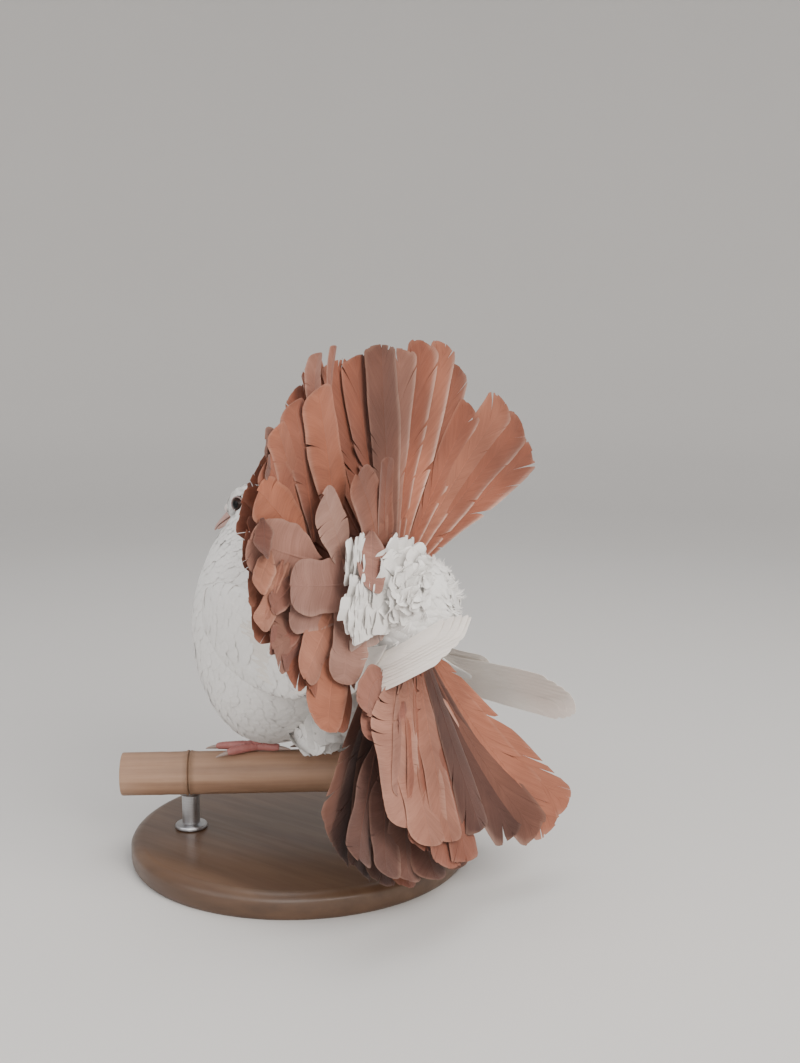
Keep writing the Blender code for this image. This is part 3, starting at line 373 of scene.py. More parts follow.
def wing_place(rows, end, t, angle, grow=0.0):
    """Point of the folded wing's own form."""
    t = np.asarray(t, float)
    u = t * end
    centre, out, rise, thick, tall = wing_frame(rows, u)
    slim = 1.0 - 0.72 * np.maximum(0.0, (u - 4.2) / (end - 4.2)) ** 1.2
    close = np.sqrt(np.clip(t / 0.06, 0.0, 1.0)) * np.sqrt(np.clip((1.0 - t) / 0.03, 0.0, 1.0))
    sign = math.copysign(1.0, rows[3][0])
    return (centre + out * ((thick * slim + grow) * close * np.cos(angle))[..., None]
            + rise * ((tall * slim + grow) * close * np.sin(angle) * sign)[..., None])


def nearer(apart, gap):
    """Whether a difference of places is shorter than the root of gap."""
    return apart[0] * apart[0] + apart[1] * apart[1] + apart[2] * apart[2] < gap


class Cover:
    """Grid of points and normals over a closed form, on which feathers lie."""

    def __init__(self, place, rings=360, sides=240):
        self.rings = rings
        self.sides = sides
        self.t = np.linspace(0.0, 1.0, rings + 1)
        self.angle = np.arange(sides) / sides * 2.0 * math.pi
        tt, aa = np.meshgrid(self.t, self.angle, indexing="ij")
        self.points = place(tt, aa)
        wrap = np.concatenate((self.points[:, -1:], self.points, self.points[:, :1]), 1)
        self.along = np.gradient(self.points, self.t, axis=0)
        self.round = np.gradient(wrap, 2.0 * math.pi / sides, axis=1)[:, 1:-1]
        self.normals = unit(np.cross(self.along, self.round))
        middle = self.points.mean(1, keepdims=True)
        if ((self.points - middle) * self.normals).sum() < 0.0:
            self.normals = -self.normals

    def read(self, grid, t, angle):
        """Value of a grid between its points."""
        x = np.clip(t, 0.0, 1.0) * self.rings
        y = np.mod(angle / (2.0 * math.pi), 1.0) * self.sides
        i = np.clip(x.astype(int), 0, self.rings - 1)
        j = y.astype(int) % self.sides
        k = (j + 1) % self.sides
        fx = (x - i)[..., None]
        fy = (y - y.astype(int))[..., None]
        return ((grid[i, j] * (1 - fy) + grid[i, k] * fy) * (1 - fx)
                + (grid[i + 1, j] * (1 - fy) + grid[i + 1, k] * fy) * fx)

    def scatter(self, rng, spacing, keep, tries=14):
        """Evenly spread places; spacing gives the distance wanted at each grid point, keep drops places."""
        area = np.linalg.norm(np.cross(self.along, self.round), axis=-1)
        want = spacing(self.points)
        weight = area / want ** 2 * keep(self.points)
        total = weight.sum() / (self.rings * self.sides / (2.0 * math.pi))
        count = int(total * tries) + 1
        cells = rng.choice(weight.size, size=count, p=(weight / weight.sum()).ravel())
        i, j = np.unravel_index(cells, weight.shape)
        t = np.clip(self.t[i] + rng.uniform(-0.5, 0.5, count) / self.rings, 0.0, 1.0)
        angle = self.angle[j] + rng.uniform(-0.5, 0.5, count) * 2.0 * math.pi / self.sides
        points = self.read(self.points, t, angle)
        gaps = want[i, j] * CLOSEST
        size = float(gaps.max())
        bins = {}
        chosen = []
        keys = np.floor(points / size).astype(int)
        for n in range(count):
            x, y, z = keys[n]
            here = points[n]
            gap = gaps[n] ** 2
            if any(nearer(points[other] - here, gap) for dx, dy, dz in NEIGHBOURS
                   for other in bins.get((x + dx, y + dy, z + dz), ())):
                continue
            bins.setdefault((x, y, z), []).append(n)
            chosen.append(n)
        chosen = np.array(chosen, int)
        return t[chosen], angle[chosen]


def add_piece(mesh, materials, sharp=None):
    """Smoothly shaded object of a mesh, with sharp edges above an angle."""
    for material in materials:
        mesh.materials.append(material)
    mesh.shade_smooth()
    if sharp:
        mesh.set_sharp_from_angle(angle=math.radians(sharp))
    piece = bpy.data.objects.new(mesh.name, mesh)
    bpy.context.scene.collection.objects.link(piece)
    return piece


def keep_mesh(bm, name, materials, sharp=None):
    """Object of a finished bmesh."""
    mesh = bpy.data.meshes.new(name)
    bm.to_mesh(mesh)
    bm.free()
    return add_piece(mesh, materials, sharp)


class Plumage:
    """Vertices, faces and maps of many joined feathers."""

    def __init__(self):
        self.verts = []
        self.faces = []
        self.lie = []
        self.bake = []
        self.tint = []
        self.count = 0

    def add(self, points, faces, lie, bake, tint):
        self.verts.append(points)
        self.faces.append(faces + self.count)
        self.lie.append(lie)
        self.bake.append(bake)
        self.tint.append(np.broadcast_to(np.asarray(tint, float), (len(points), 3)))
        self.count += len(points)

    def build(self, name, material, sharp):
        """Mesh object with the maps Lie and OFBake and the colour Tint."""
        verts = metres(np.concatenate(self.verts))
        corners = np.concatenate([block.ravel() for block in self.faces])
        sizes = np.concatenate([np.full(len(block), block.shape[1]) for block in self.faces])
        mesh = bpy.data.meshes.new(name)
        mesh.vertices.add(len(verts))
        mesh.vertices.foreach_set("co", verts.astype(np.float32).ravel())
        mesh.loops.add(len(corners))
        mesh.loops.foreach_set("vertex_index", corners.astype(np.int32))
        mesh.polygons.add(len(sizes))
        mesh.polygons.foreach_set("loop_start", (np.cumsum(sizes) - sizes).astype(np.int32))
        mesh.update(calc_edges=True)
        mesh.validate()
        for title, values in (("OFBake", self.bake), ("Lie", self.lie)):
            layer = mesh.uv_layers.new(name=title)
            table = np.concatenate(values)[corners]
            layer.data.foreach_set("uv", table.astype(np.float32).ravel())
        tints = np.ones((len(verts), 4), np.float32)
        tints[:, :3] = np.concatenate(self.tint)
        colour = mesh.color_attributes.new(name="Tint", type="FLOAT_COLOR", domain="POINT")
        colour.data.foreach_set("color", tints.ravel())
        return add_piece(mesh, [material], sharp)


def shell_faces(rows, columns):
    """Faces of a thin closed sheet: top grid, bottom grid and the rim between them."""
    step = columns + 1
    other = (rows + 1) * step
    faces = []
    for r in range(rows):
        for c in range(columns):
            a = r * step + c
            faces.append((a, a + 1, a + step + 1, a + step))
            faces.append((other + a, other + a + step, other + a + step + 1, other + a + 1))
    for c in range(columns):
        a = c
        b = rows * step + c
        faces.append((a, other + a, other + a + 1, a + 1))
        faces.append((b, b + 1, other + b + 1, other + b))
    for r in range(rows):
        a = r * step
        b = a + columns
        faces.append((a, a + step, other + a + step, other + a))
        faces.append((b, other + b, other + b + step, b + step))
    return np.array(faces)


def tuft_faces(rows, columns):
    """Faces of a small closed feather: domed top grid over a flat underside that shares its border."""
    step = columns + 1
    quads = []
    for r in range(rows):
        for c in range(columns):
            a = r * step + c
            quads.append((a, a + step, a + step + 1, a + 1))
    for r in range(rows):
        a = r * step
        quads.append((a, a + columns, a + step + columns, a + step))
    ends = [tuple(range(step)), tuple(rows * step + c for c in range(columns, -1, -1))]
    return np.array(quads), np.array(ends)


def outline(v, length, width, blunt, fill):
    """Along and across distances of a feather's edge; v runs from the root to the very tip."""
    body = np.clip(v / TIP_FROM, 0.0, 1.0)
    phi = np.clip((v - TIP_FROM) / (1.0 - TIP_FROM), 0.0, 1.0) * math.pi / 2.0
    swell = 0.16 + 0.84 * np.sin(np.minimum(body / fill, 1.0) * math.pi / 2.0) ** 1.4
    cap = blunt * width / 2.0
    shoulder = length - cap
    along = np.where(v < TIP_FROM, body * shoulder, shoulder + cap * np.sin(phi))
    across = np.where(v < TIP_FROM, width / 2.0 * swell, width / 2.0 * np.cos(phi) ** 0.72)
    return along, across


def quill(store, place, length, camber, cup, tint, cell):
    """Tapered shaft down the middle of a large feather."""
    rings = 18
    sides = 6
    t = np.linspace(0.0, 0.97, rings + 1)
    angle = np.arange(sides) / sides * 2.0 * math.pi
    tt, aa = np.meshgrid(t, angle, indexing="ij")
    radius = 0.85 * (1.0 - tt) ** 0.8 + 0.10
    lift = camber * tt + cup * tt ** 3
    points = place(tt * length, radius * np.cos(aa), lift + radius * 0.55 * np.sin(aa) + 0.12).reshape(-1, 3)
    quads = []
    for r in range(rings):
        for k in range(sides):
            j = (k + 1) % sides
            quads.append((r * sides + k, r * sides + j, (r + 1) * sides + j, (r + 1) * sides + k))
    ends = np.array([tuple(range(sides - 1, -1, -1)), tuple(rings * sides + k for k in range(sides))])
    lie = np.stack((np.full(tt.size, 0.5), tt.ravel()), -1)
    bake = np.stack((cell[0] + cell[2] * (0.5 + 0.01 * np.cos(aa)).ravel(),
                     cell[1] + cell[3] * (0.02 + 0.96 * tt.ravel())), -1)
    store.add(points, np.array(quads), lie, bake, np.asarray(tint) * 0.98)
    store.faces.append(ends + store.count - len(points))


def vane(store, spine, side, face, length, width, rng, tint, cell, camber=1.4, blunt=0.62, groups=15,
         rows=3, columns=4, ragged=0.5, thick=VANE_THICK, edge_curl=0.0, shaft=True, cup=0.0, base=0.0,
         wavy=1.0, fill=0.85, edge_highlights=(0.0, 0.0)):
    """Large feather made of clumps of barbs on both sides of a tapered shaft."""
    knots = np.linspace(0.0, length, len(spine))
    faces = shell_faces(rows, columns)
    flipped = faces[:, ::-1]
    fine = settings().vane_thickness / (VANE_THICK * MM)

    def place(along, across, height):
        at = [np.interp(along, knots, spine[:, k]) for k in range(3)]
        to = [np.interp(along, knots, side[:, k]) for k in range(3)]
        up = [np.interp(along, knots, face[:, k]) for k in range(3)]
        return (np.stack(at, -1) + np.stack(to, -1) * across[..., None]
                + np.stack(up, -1) * height[..., None])

    for sign, edge_highlight in zip((1.0, -1.0), edge_highlights):
        cuts = np.linspace(base, 1.0, groups + 1)
        cuts[1:-1] += rng.uniform(-0.3, 0.3, groups - 1) * (1.0 - base) / groups
        # a high power leaves most of the gaps closed
        open_up = rng.random(groups + 1) ** 9 * ragged
        open_up[0] = 0.0
        phase = rng.uniform(0.0, 2.0 * math.pi, 3)
        for g in range(groups):
            v = np.linspace(cuts[g], cuts[g + 1], rows + 1)
            s = np.linspace(0.0, 1.0, columns + 1)
            vv, ss = np.meshgrid(v, s, indexing="ij")
            # a gap opens toward the edge beside a split
            low = open_up[g] * SPLIT_OPEN
            high = open_up[g + 1] * SPLIT_OPEN if g < groups - 1 else 0.0
            span = cuts[g + 1] - cuts[g]
            part = (vv - cuts[g]) / span
            shift = (low * (1.0 - part) - high * part) * span * ss ** 2
            edge_along, edge_across = outline(vv + shift, length, width, blunt, fill)
            pale_edge = 0.015 + 0.11 * ragged * np.clip((vv[:, :1] - 0.72) / 0.28, 0.0, 1.0)
            fray = 1.0 - pale_edge * rng.uniform(0.0, 1.0) - rng.uniform(0.0, 0.008, vv.shape[0])[:, None]
            root_along = np.minimum(vv * length * 0.97, length * 0.975)
            bow = np.sin(ss * math.pi) * 0.05 * width
            along = root_along + (edge_along - root_along) * ss * np.where(vv > 0.9, fray, 1.0)
            along = along + bow * (vv < 0.9)
            uneven = 1.0 + wavy * (0.045 * np.sin(9.0 * vv + phase[0]) + 0.022 * np.sin(23.0 * vv + phase[1]))
            across = edge_across * (ss ** 0.94) * fray * uneven
            wave = (rng.normal(0.0, 0.05) + wavy * 0.03 * width * np.sin(8.0 * vv + phase[2])) * ss ** 2
            share = across / (width / 2.0)
            reach = np.clip(along / length, 0.0, 1.0)
            height = (camber * reach * (1.0 - share ** 2) + wave + edge_curl * share ** 3 + cup * reach ** 3)
            thin = thick * fine * (1.0 - 0.55 * ss) / 2.0
            top = place(along, sign * across, height + thin)
            under = place(along, sign * across, height - thin)
            points = np.concatenate((top.reshape(-1, 3), under.reshape(-1, 3)))
            lie = np.stack((0.5 + sign * 0.5 * ss, vv), -1).reshape(-1, 2)
            bake = np.stack((cell[0] + cell[2] * (0.5 + sign * 0.46 * share),
                             cell[1] + cell[3] * (0.02 + 0.96 * reach)), -1).reshape(-1, 2)
            # painted highlight: a pale strip along the outer edge of this side, full over the first six
            # tenths of the length and fading out toward the tip
            pale = edge_highlight * np.clip((ss - EDGE_HIGHLIGHT_FROM) / (1.0 - EDGE_HIGHLIGHT_FROM), 0.0, 1.0) ** 2
            pale = np.tile((pale * np.clip(2.6 - 2.6 * vv, 0.0, 1.0)).reshape(-1, 1), (2, 1))
            store.add(points, faces if sign < 0.0 else flipped, np.tile(lie, (2, 1)), np.tile(bake, (2, 1)),
                      np.asarray(tint) * (1.0 - pale) + EDGE_HIGHLIGHT_TINT * pale)
    if shaft:
        quill(store, place, length, camber, cup, tint, cell)


def dyed(tint):
    """A tail tint that follows the rust of the settings."""
    return np.array(tint) * np.array(settings().rust) / np.array(RUST)


def heading(angle, sweep):
    a = math.radians(angle)
    b = math.radians(sweep)
    return np.array((math.sin(a) * math.cos(b), math.sin(b), math.cos(a) * math.cos(b)))


def fan_spine(root, row, tilt, start):
    """Spine, side and rear-facing axes of a tail feather."""
    angle, sweep, length, _, bend, curl, back_off = row[:7]
    steps = 32
    place = np.array(root) + heading(angle - bend / 2.0, sweep - curl / 2.0) * start
    spine = []
    sides = []
    rears = []
    for i in range(steps + 1):
        t = i / steps
        lean = angle + bend * (t - 0.5)
        back = sweep + curl * (t - 0.5)
        along = heading(lean, back)
        across = np.array((math.cos(math.radians(lean)), 0.0, -math.sin(math.radians(lean))))
        rear = np.cross(along, across)
        turn = math.radians(tilt * (1.0 - 0.4 * t))
        side = across * math.cos(turn) + rear * math.sin(turn)
        face = np.cross(along, side)
        spine.append(place + face * back_off)
        sides.append(side)
        rears.append(face)
        place = place + heading(lean + bend * 0.5 / steps, back) * (length - start) / steps
    return np.array(spine), np.array(sides), np.array(rears)


def cells(count):
    """Places in a square map for a number of feathers."""
    wide = int(math.ceil(math.sqrt(count * 0.5)))
    tall = int(math.ceil(count / wide))
    return [((i % wide) / wide + 0.002, (i // wide) / tall + 0.002, 1.0 / wide - 0.004, 1.0 / tall - 0.004)
            for i in range(count)]


def fan_feathers(name, root, rows, middle, seed, material, edge_highlight=0.0):
    """Joined tail feathers of one group."""
    rng = np.random.default_rng(seed)
    store = Plumage()
    for row, cell in zip(rows, cells(len(rows))):
        side = 0.0 if row[0] == middle else math.copysign(1.0, row[0] - middle)
        spine, sides, rears = fan_spine(root, row, FAN_TILT * side, FAN_START)
        tint = dyed(row[7]) * rng.uniform(0.90, 1.10)
        # feathers toward the bird's right get a painted highlight along the edge of their second side,
        # stronger further right
        vane(store, spine, sides, rears, row[2] - FAN_START, row[3], rng, tint, cell, ragged=1.1,
             blunt=rng.uniform(0.25, 0.5), edge_curl=rng.uniform(-0.8, 1.6), cup=rng.uniform(-1.5, 2.5),
             edge_highlights=(0.0, edge_highlight * float(np.clip((14.0 - row[0]) / 30.0, 0.0, 1.0))))
    return store.build(name, material, 50.0)


def plate_spine(base, tip, bow, curl, lean):
    """Spine, side and rear-facing axes of a feather between two points."""
    base = np.array(base)
    tip = np.array(tip)
    length = np.linalg.norm(tip - base)
    ahead = (tip - base) / length
    rear = np.array((0.0, 1.0, 0.0))
    face = unit(rear - ahead * ahead.dot(rear))
    side = np.cross(face, ahead)
    t = np.linspace(0.0, 1.0, 25)[:, None]
    spine = base + (tip - base) * t + side * bow * 4.0 * t * (1.0 - t) + face * curl * t ** 3
    along = unit(np.gradient(spine, axis=0))
    turn = np.radians(lean * (1.0 - 0.4 * t))
    sides = unit(np.cross(face[None] - along * (along @ face)[:, None], along))
    up = np.cross(along, sides)
    sides = sides * np.cos(turn) + up * np.sin(turn)
    return spine, sides, np.cross(along, sides), length


def plates(name, rows, seed, material, edge_highlight):
    """Joined shorter feathers between given points."""
    rng = np.random.default_rng(seed)
    store = Plumage()
    for row, cell in zip(rows, cells(len(rows))):
        base, tip, width, bow, curl, lean, blunt, tint = row
        spine, sides, rears, length = plate_spine(base, tip, bow, curl, lean)
        # the first side of each feather gets a painted highlight along its edge
        vane(store, spine, sides, rears, length, width, rng, dyed(tint), cell, camber=1.6, blunt=blunt,
             groups=10, ragged=0.4, edge_curl=rng.uniform(0.0, 1.8), cup=rng.uniform(-0.5, 2.0), wavy=1.3,
             fill=0.5, edge_highlights=(edge_highlight, 0.0))
    return store.build(name, material, 50.0)


def lay_tufts(store, cover, places, rng, length, width, lift, dome, turn=0.14, rows=5, columns=4, flow=-1.0):
    """Small feathers that follow the form of a cover."""
    t, angle = places
    count = len(t)
    along = cover.read(cover.along, t, angle)
    around = cover.read(cover.round, t, angle)
    root = cover.read(cover.points, t, angle)
    ahead = unit(along) * flow
    normal = unit(cover.read(cover.normals, t, angle))
    beside = unit(np.cross(normal, ahead))
    twist = rng.normal(0.0, turn, count)
    forward = ahead * np.cos(twist)[:, None] + beside * np.sin(twist)[:, None]
    sideways = np.cross(normal, forward)
    # a step in millimetres is turned into a step of t and angle, by the cover's own two directions
    along_sq = (along * along).sum(-1)
    both = (along * around).sum(-1)
    around_sq = (around * around).sum(-1)
    area = np.maximum(along_sq * around_sq - both * both, 1e-6)
    far, aside = np.meshgrid(np.sin(np.linspace(0.0, 0.5, rows + 1) * math.pi),
                             np.linspace(-1.0, 1.0, columns + 1), indexing="ij")
    size = length(root) * rng.uniform(0.85, 1.15, count)
    wide = width(root) * rng.uniform(0.88, 1.12, count) / 2.0
    tip = (1.0 - 0.02 * aside ** 2 * (far > 0.99)) * far
    fray = rng.uniform(-0.012, 0.012, (count, rows + 1, columns + 1)) * (far > 0.9)
    x = size[:, None, None] * (tip[None] + fray)
    y = wide[:, None, None] * (aside * contour(far))[None]
    step = x[..., None] * forward[:, None, None] + y[..., None] * sideways[:, None, None]
    on_along = (step * along[:, None, None]).sum(-1)
    on_around = (step * around[:, None, None]).sum(-1)
    step_t = (around_sq[:, None, None] * on_along - both[:, None, None] * on_around) / area[:, None, None]
    step_angle = (along_sq[:, None, None] * on_around - both[:, None, None] * on_along) / area[:, None, None]
    end_t = t[:, None, None] + step_t
    end_angle = angle[:, None, None] + step_angle
    points = cover.read(cover.points, end_t, end_angle)
    normals = unit(cover.read(cover.normals, end_t, end_angle))
    raise_by = lift(root) * rng.uniform(0.5, 1.5, count)
    height = (-ROOT_DEPTH + (ROOT_DEPTH + raise_by)[:, None, None] * np.sin(far * math.pi / 2.0)[None]
              + dome * (1.0 - aside ** 2)[None] * np.minimum(1.0, far * 3.0)[None])
    points = points + normals * height[..., None]
    quads, ends = tuft_faces(rows, columns)
    per = (rows + 1) * (columns + 1)
    offset = (np.arange(count) * per)[:, None, None]
    lie = np.stack((0.5 + 0.5 * aside, far), -1).reshape(1, -1, 2).repeat(count, 0).reshape(-1, 2)
    centre = np.stack((np.mod(angle / (2.0 * math.pi), 1.0), t), -1)
    patch = np.stack((aside * PATCH, (far - 0.5) * 2.0 * PATCH), -1).reshape(1, -1, 2)
    maps = np.clip(centre[:, None] + patch, 0.0, 1.0).reshape(-1, 2)
    tint = white_tints(root, rng).repeat(per, 0)
    store.add(points.reshape(-1, 3), (quads[None] + offset).reshape(-1, 4), lie, maps, tint)
    store.faces.append((ends[None] + offset).reshape(-1, columns + 1) + store.count - count * per)


def contour(a):
    """Half width of a small body feather along its length."""
    return (0.30 + 0.70 * np.sin(np.minimum(a / 0.62, 1.0) * math.pi / 2.0)) * np.sqrt(
        np.clip(1.0 - np.maximum(0.0, (a - 0.55) / 0.46) ** 2.0, 0.01, 1.0))


# Materials

def new_material(name, colour, roughness, **values):
    material = bpy.data.materials.new(name)
    material.use_nodes = True
    shader = material.node_tree.nodes["Principled BSDF"]
    shader.inputs["Base Color"].default_value = (*colour, 1.0)
    shader.inputs["Roughness"].default_value = roughness
    for socket, value in values.items():
        shader.inputs[socket.replace("_", " ")].default_value = value
    return material, material.node_tree, shader


def mix(tree, share, first, second, kind="MIX"):
    """Colour mix; each argument is a socket or a value."""
    made = tree.nodes.new("ShaderNodeMix")
    made.data_type = "RGBA"
    made.blend_type = kind
    for socket, value in ((made.inputs[0], share), (made.inputs[6], first), (made.inputs[7], second)):
        if isinstance(value, bpy.types.NodeSocket):
            tree.links.new(value, socket)
        elif isinstance(value, (int, float)):
            socket.default_value = value
        else:
            socket.default_value = (*value[:3], 1.0)
    return made.outputs[2]


def maths(tree, operation, first, second=0.0, third=None, clamp=False):
    made = tree.nodes.new("ShaderNodeMath")
    made.operation = operation
    made.use_clamp = clamp
    for socket, value in zip(made.inputs, (first, second, third)):
        if value is None:
            continue
        if isinstance(value, bpy.types.NodeSocket):
            tree.links.new(value, socket)
        else:
            socket.default_value = value
    return made.outputs[0]


def ramp(tree, value, stops):
    """Colour ramp from (position, colour) pairs."""
    made = tree.nodes.new("ShaderNodeValToRGB")
    tree.links.new(value, made.inputs[0])
    while len(made.color_ramp.elements) < len(stops):
        made.color_ramp.elements.new(0.5)
    for element, (position, colour) in zip(made.color_ramp.elements, stops):
        element.position = position
        element.color = (*colour, 1.0) if len(colour) == 3 else colour
    return made.outputs[0]


def noise(tree, vector, scale, detail=3.0, roughness=0.5):
    made = tree.nodes.new("ShaderNodeTexNoise")
    made.inputs["Scale"].default_value = scale
    made.inputs["Detail"].default_value = detail
    made.inputs["Roughness"].default_value = roughness
    tree.links.new(vector, made.inputs["Vector"])
    return made.outputs["Fac"]


def object_place(tree, scale=(1.0, 1.0, 1.0)):
    """Object coordinates in metres, stretched."""
    place = tree.nodes.new("ShaderNodeTexCoord")
    turn = tree.nodes.new("ShaderNodeMapping")
    turn.inputs["Scale"].default_value = scale
    tree.links.new(place.outputs["Object"], turn.inputs["Vector"])
    return turn.outputs["Vector"]


def bump(tree, shader, height, strength, distance):
    made = tree.nodes.new("ShaderNodeBump")
    made.inputs["Strength"].default_value = strength
    made.inputs["Distance"].default_value = distance
    tree.links.new(height, made.inputs["Height"])
    tree.links.new(made.outputs["Normal"], shader.inputs["Normal"])


def barb_group():
    """Shared pattern of barbs on a feather: streaks, edge, shaft and relief."""
    found = bpy.data.node_groups.get("feather_barbs")
    if found:
        return found
    group = bpy.data.node_groups.new("feather_barbs", "ShaderNodeTree")
    for title in ("Barbs", "Waviness"):
        group.interface.new_socket(title, in_out="INPUT", socket_type="NodeSocketFloat")
    for title in ("Height", "Streak", "Edge", "Shaft", "Along"):
        group.interface.new_socket(title, in_out="OUTPUT", socket_type="NodeSocketFloat")
    given = group.nodes.new("NodeGroupInput")
    put = group.nodes.new("NodeGroupOutput")
    lie = group.nodes.new("ShaderNodeUVMap")
    lie.uv_map = "Lie"
    parts = group.nodes.new("ShaderNodeSeparateXYZ")
    group.links.new(lie.outputs["UV"], parts.inputs[0])
    across = maths(group, "ABSOLUTE", maths(group, "SUBTRACT", parts.outputs[0], 0.5))
    across = maths(group, "MULTIPLY", across, 2.0)
    along = parts.outputs[1]
    place = object_place(group)
    drift = noise(group, place, 160.0, 2.0)
    drift = maths(group, "MULTIPLY", maths(group, "SUBTRACT", drift, 0.5), given.outputs["Waviness"])
    line = maths(group, "ADD", along, drift)
    joined = group.nodes.new("ShaderNodeCombineXYZ")
    group.links.new(maths(group, "MULTIPLY", line, given.outputs["Barbs"]), joined.inputs[0])
    group.links.new(maths(group, "MULTIPLY", across, 1.5), joined.inputs[1])
    where = group.nodes.new("ShaderNodeSeparateXYZ")
    group.links.new(place, where.inputs[0])
    group.links.new(maths(group, "MULTIPLY", where.outputs[0], 14.0), joined.inputs[2])
    fine = noise(group, joined.outputs[0], 1.0, 3.0, 0.6)
    broad = noise(group, joined.outputs[0], 0.16, 2.0)
    streak = maths(group, "MULTIPLY_ADD", fine, 0.6, maths(group, "MULTIPLY", broad, 0.4))
    shaft = maths(group, "SUBTRACT", 1.0, maths(group, "MULTIPLY", across, 9.0), clamp=True)
    height = maths(group, "MULTIPLY_ADD", shaft, 0.4, fine)
    for value, title in ((height, "Height"), (streak, "Streak"), (across, "Edge"), (shaft, "Shaft"),
                         (along, "Along")):
        group.links.new(value, put.inputs[title])
    return group


def barbs(tree, count, waviness):
    made = tree.nodes.new("ShaderNodeGroup")
    made.node_tree = barb_group()
    made.inputs["Barbs"].default_value = count
    made.inputs["Waviness"].default_value = waviness
    return made


def tint_socket(tree):
    made = tree.nodes.new("ShaderNodeAttribute")
    made.attribute_name = "Tint"
    return made.outputs["Color"]


def rust_material():
    """Rust-brown tail feathers with darker roots, streaked barbs and patchy pale edges."""
    material, tree, shader = new_material("rust_feather", RUST, 0.72, Sheen_Weight=0.12,
                                          Specular_IOR_Level=0.3)
    pattern = barbs(tree, 150.0, 0.02)
    tint = tint_socket(tree)
    wide = noise(tree, object_place(tree), 55.0, 3.0)
    colour = mix(tree, maths(tree, "MULTIPLY", wide, 0.35), tint, RUST_GREY)
    streak = ramp(tree, pattern.outputs["Streak"], ((0.25, (0.72, 0.66, 0.64)), (0.55, (1.0, 1.0, 1.0)),
                                                     (0.80, (1.22, 1.26, 1.30))))
    colour = mix(tree, 1.0, colour, streak, "MULTIPLY")
    outer = maths(tree, "SUBTRACT", pattern.outputs["Edge"], 0.80, clamp=True)
    edge = maths(tree, "MULTIPLY", outer, 3.2, clamp=True)
    pale_edge = maths(tree, "MULTIPLY", edge, noise(tree, object_place(tree), 90.0, 2.0))
    colour = mix(tree, maths(tree, "MULTIPLY", pale_edge, 0.45), colour, (0.62, 0.38, 0.28))
    patches = ramp(tree, noise(tree, object_place(tree), 24.0, 2.0), ((0.35, (0.62, 0.59, 0.58)),
                                                                      (0.65, (0.90, 0.88, 0.87))))
    colour = mix(tree, 1.0, colour, patches, "MULTIPLY")
    root = ramp(tree, pattern.outputs["Along"], ((0.0, (0.42, 0.36, 0.34)), (0.30, (1.0, 1.0, 1.0)),
                                                  (0.92, (1.0, 1.0, 1.0)), (1.0, (0.86, 0.82, 0.80))))
    colour = mix(tree, 0.6, colour, root, "MULTIPLY")
    tree.links.new(colour, shader.inputs["Base Color"])
    rough = maths(tree, "MULTIPLY_ADD", pattern.outputs["Streak"], -0.20, 0.80)
    tree.links.new(rough, shader.inputs["Roughness"])
    bump(tree, shader, pattern.outputs["Height"], 0.45, 0.0004)
    return material


def pale_material(name, warm, barb_count, shade):
    """White or cream feathers with faint streaks and slightly darker roots."""
    material, tree, shader = new_material(name, warm, 0.78, Sheen_Weight=0.20, Specular_IOR_Level=0.25)
    pattern = barbs(tree, barb_count, 0.03)
    tint = tint_socket(tree)
    wide = noise(tree, object_place(tree), 38.0, 3.0)
    colour = mix(tree, maths(tree, "MULTIPLY", wide, 0.30), tint, warm)
    streak = ramp(tree, pattern.outputs["Streak"], ((0.25, (shade, shade * 0.985, shade * 0.965)),
                                                     (0.65, (1.0, 1.0, 1.0))))
    colour = mix(tree, 1.0, colour, streak, "MULTIPLY")
    root = ramp(tree, pattern.outputs["Along"], ((0.0, (0.80, 0.78, 0.76)), (0.45, (1.0, 1.0, 1.0))))
    colour = mix(tree, 0.5, colour, root, "MULTIPLY")
    tree.links.new(colour, shader.inputs["Base Color"])
    bump(tree, shader, pattern.outputs["Height"], 0.35, 0.0003)
    return material


def skin_material():
    """White down-covered skin below the small feathers."""
    material, tree, shader = new_material("white_skin", WHITE, 0.85, Sheen_Weight=0.2, Specular_IOR_Level=0.2)
    place = object_place(tree)
    wide = noise(tree, place, 38.0, 3.0)
    colour = mix(tree, maths(tree, "MULTIPLY", wide, 0.5), WHITE, (0.70, 0.67, 0.64))
    tree.links.new(colour, shader.inputs["Base Color"])
    bump(tree, shader, noise(tree, place, 900.0, 4.0), 0.5, 0.0004)
    return material


def white_plume():
    found = bpy.data.materials.get("white_plume")
    return found or pale_material("white_plume", (0.72, 0.69, 0.66), 40.0, 0.90)


def white_skin():
    return bpy.data.materials.get("white_skin") or skin_material()


def rust_feather():
    return bpy.data.materials.get("rust_feather") or rust_material()


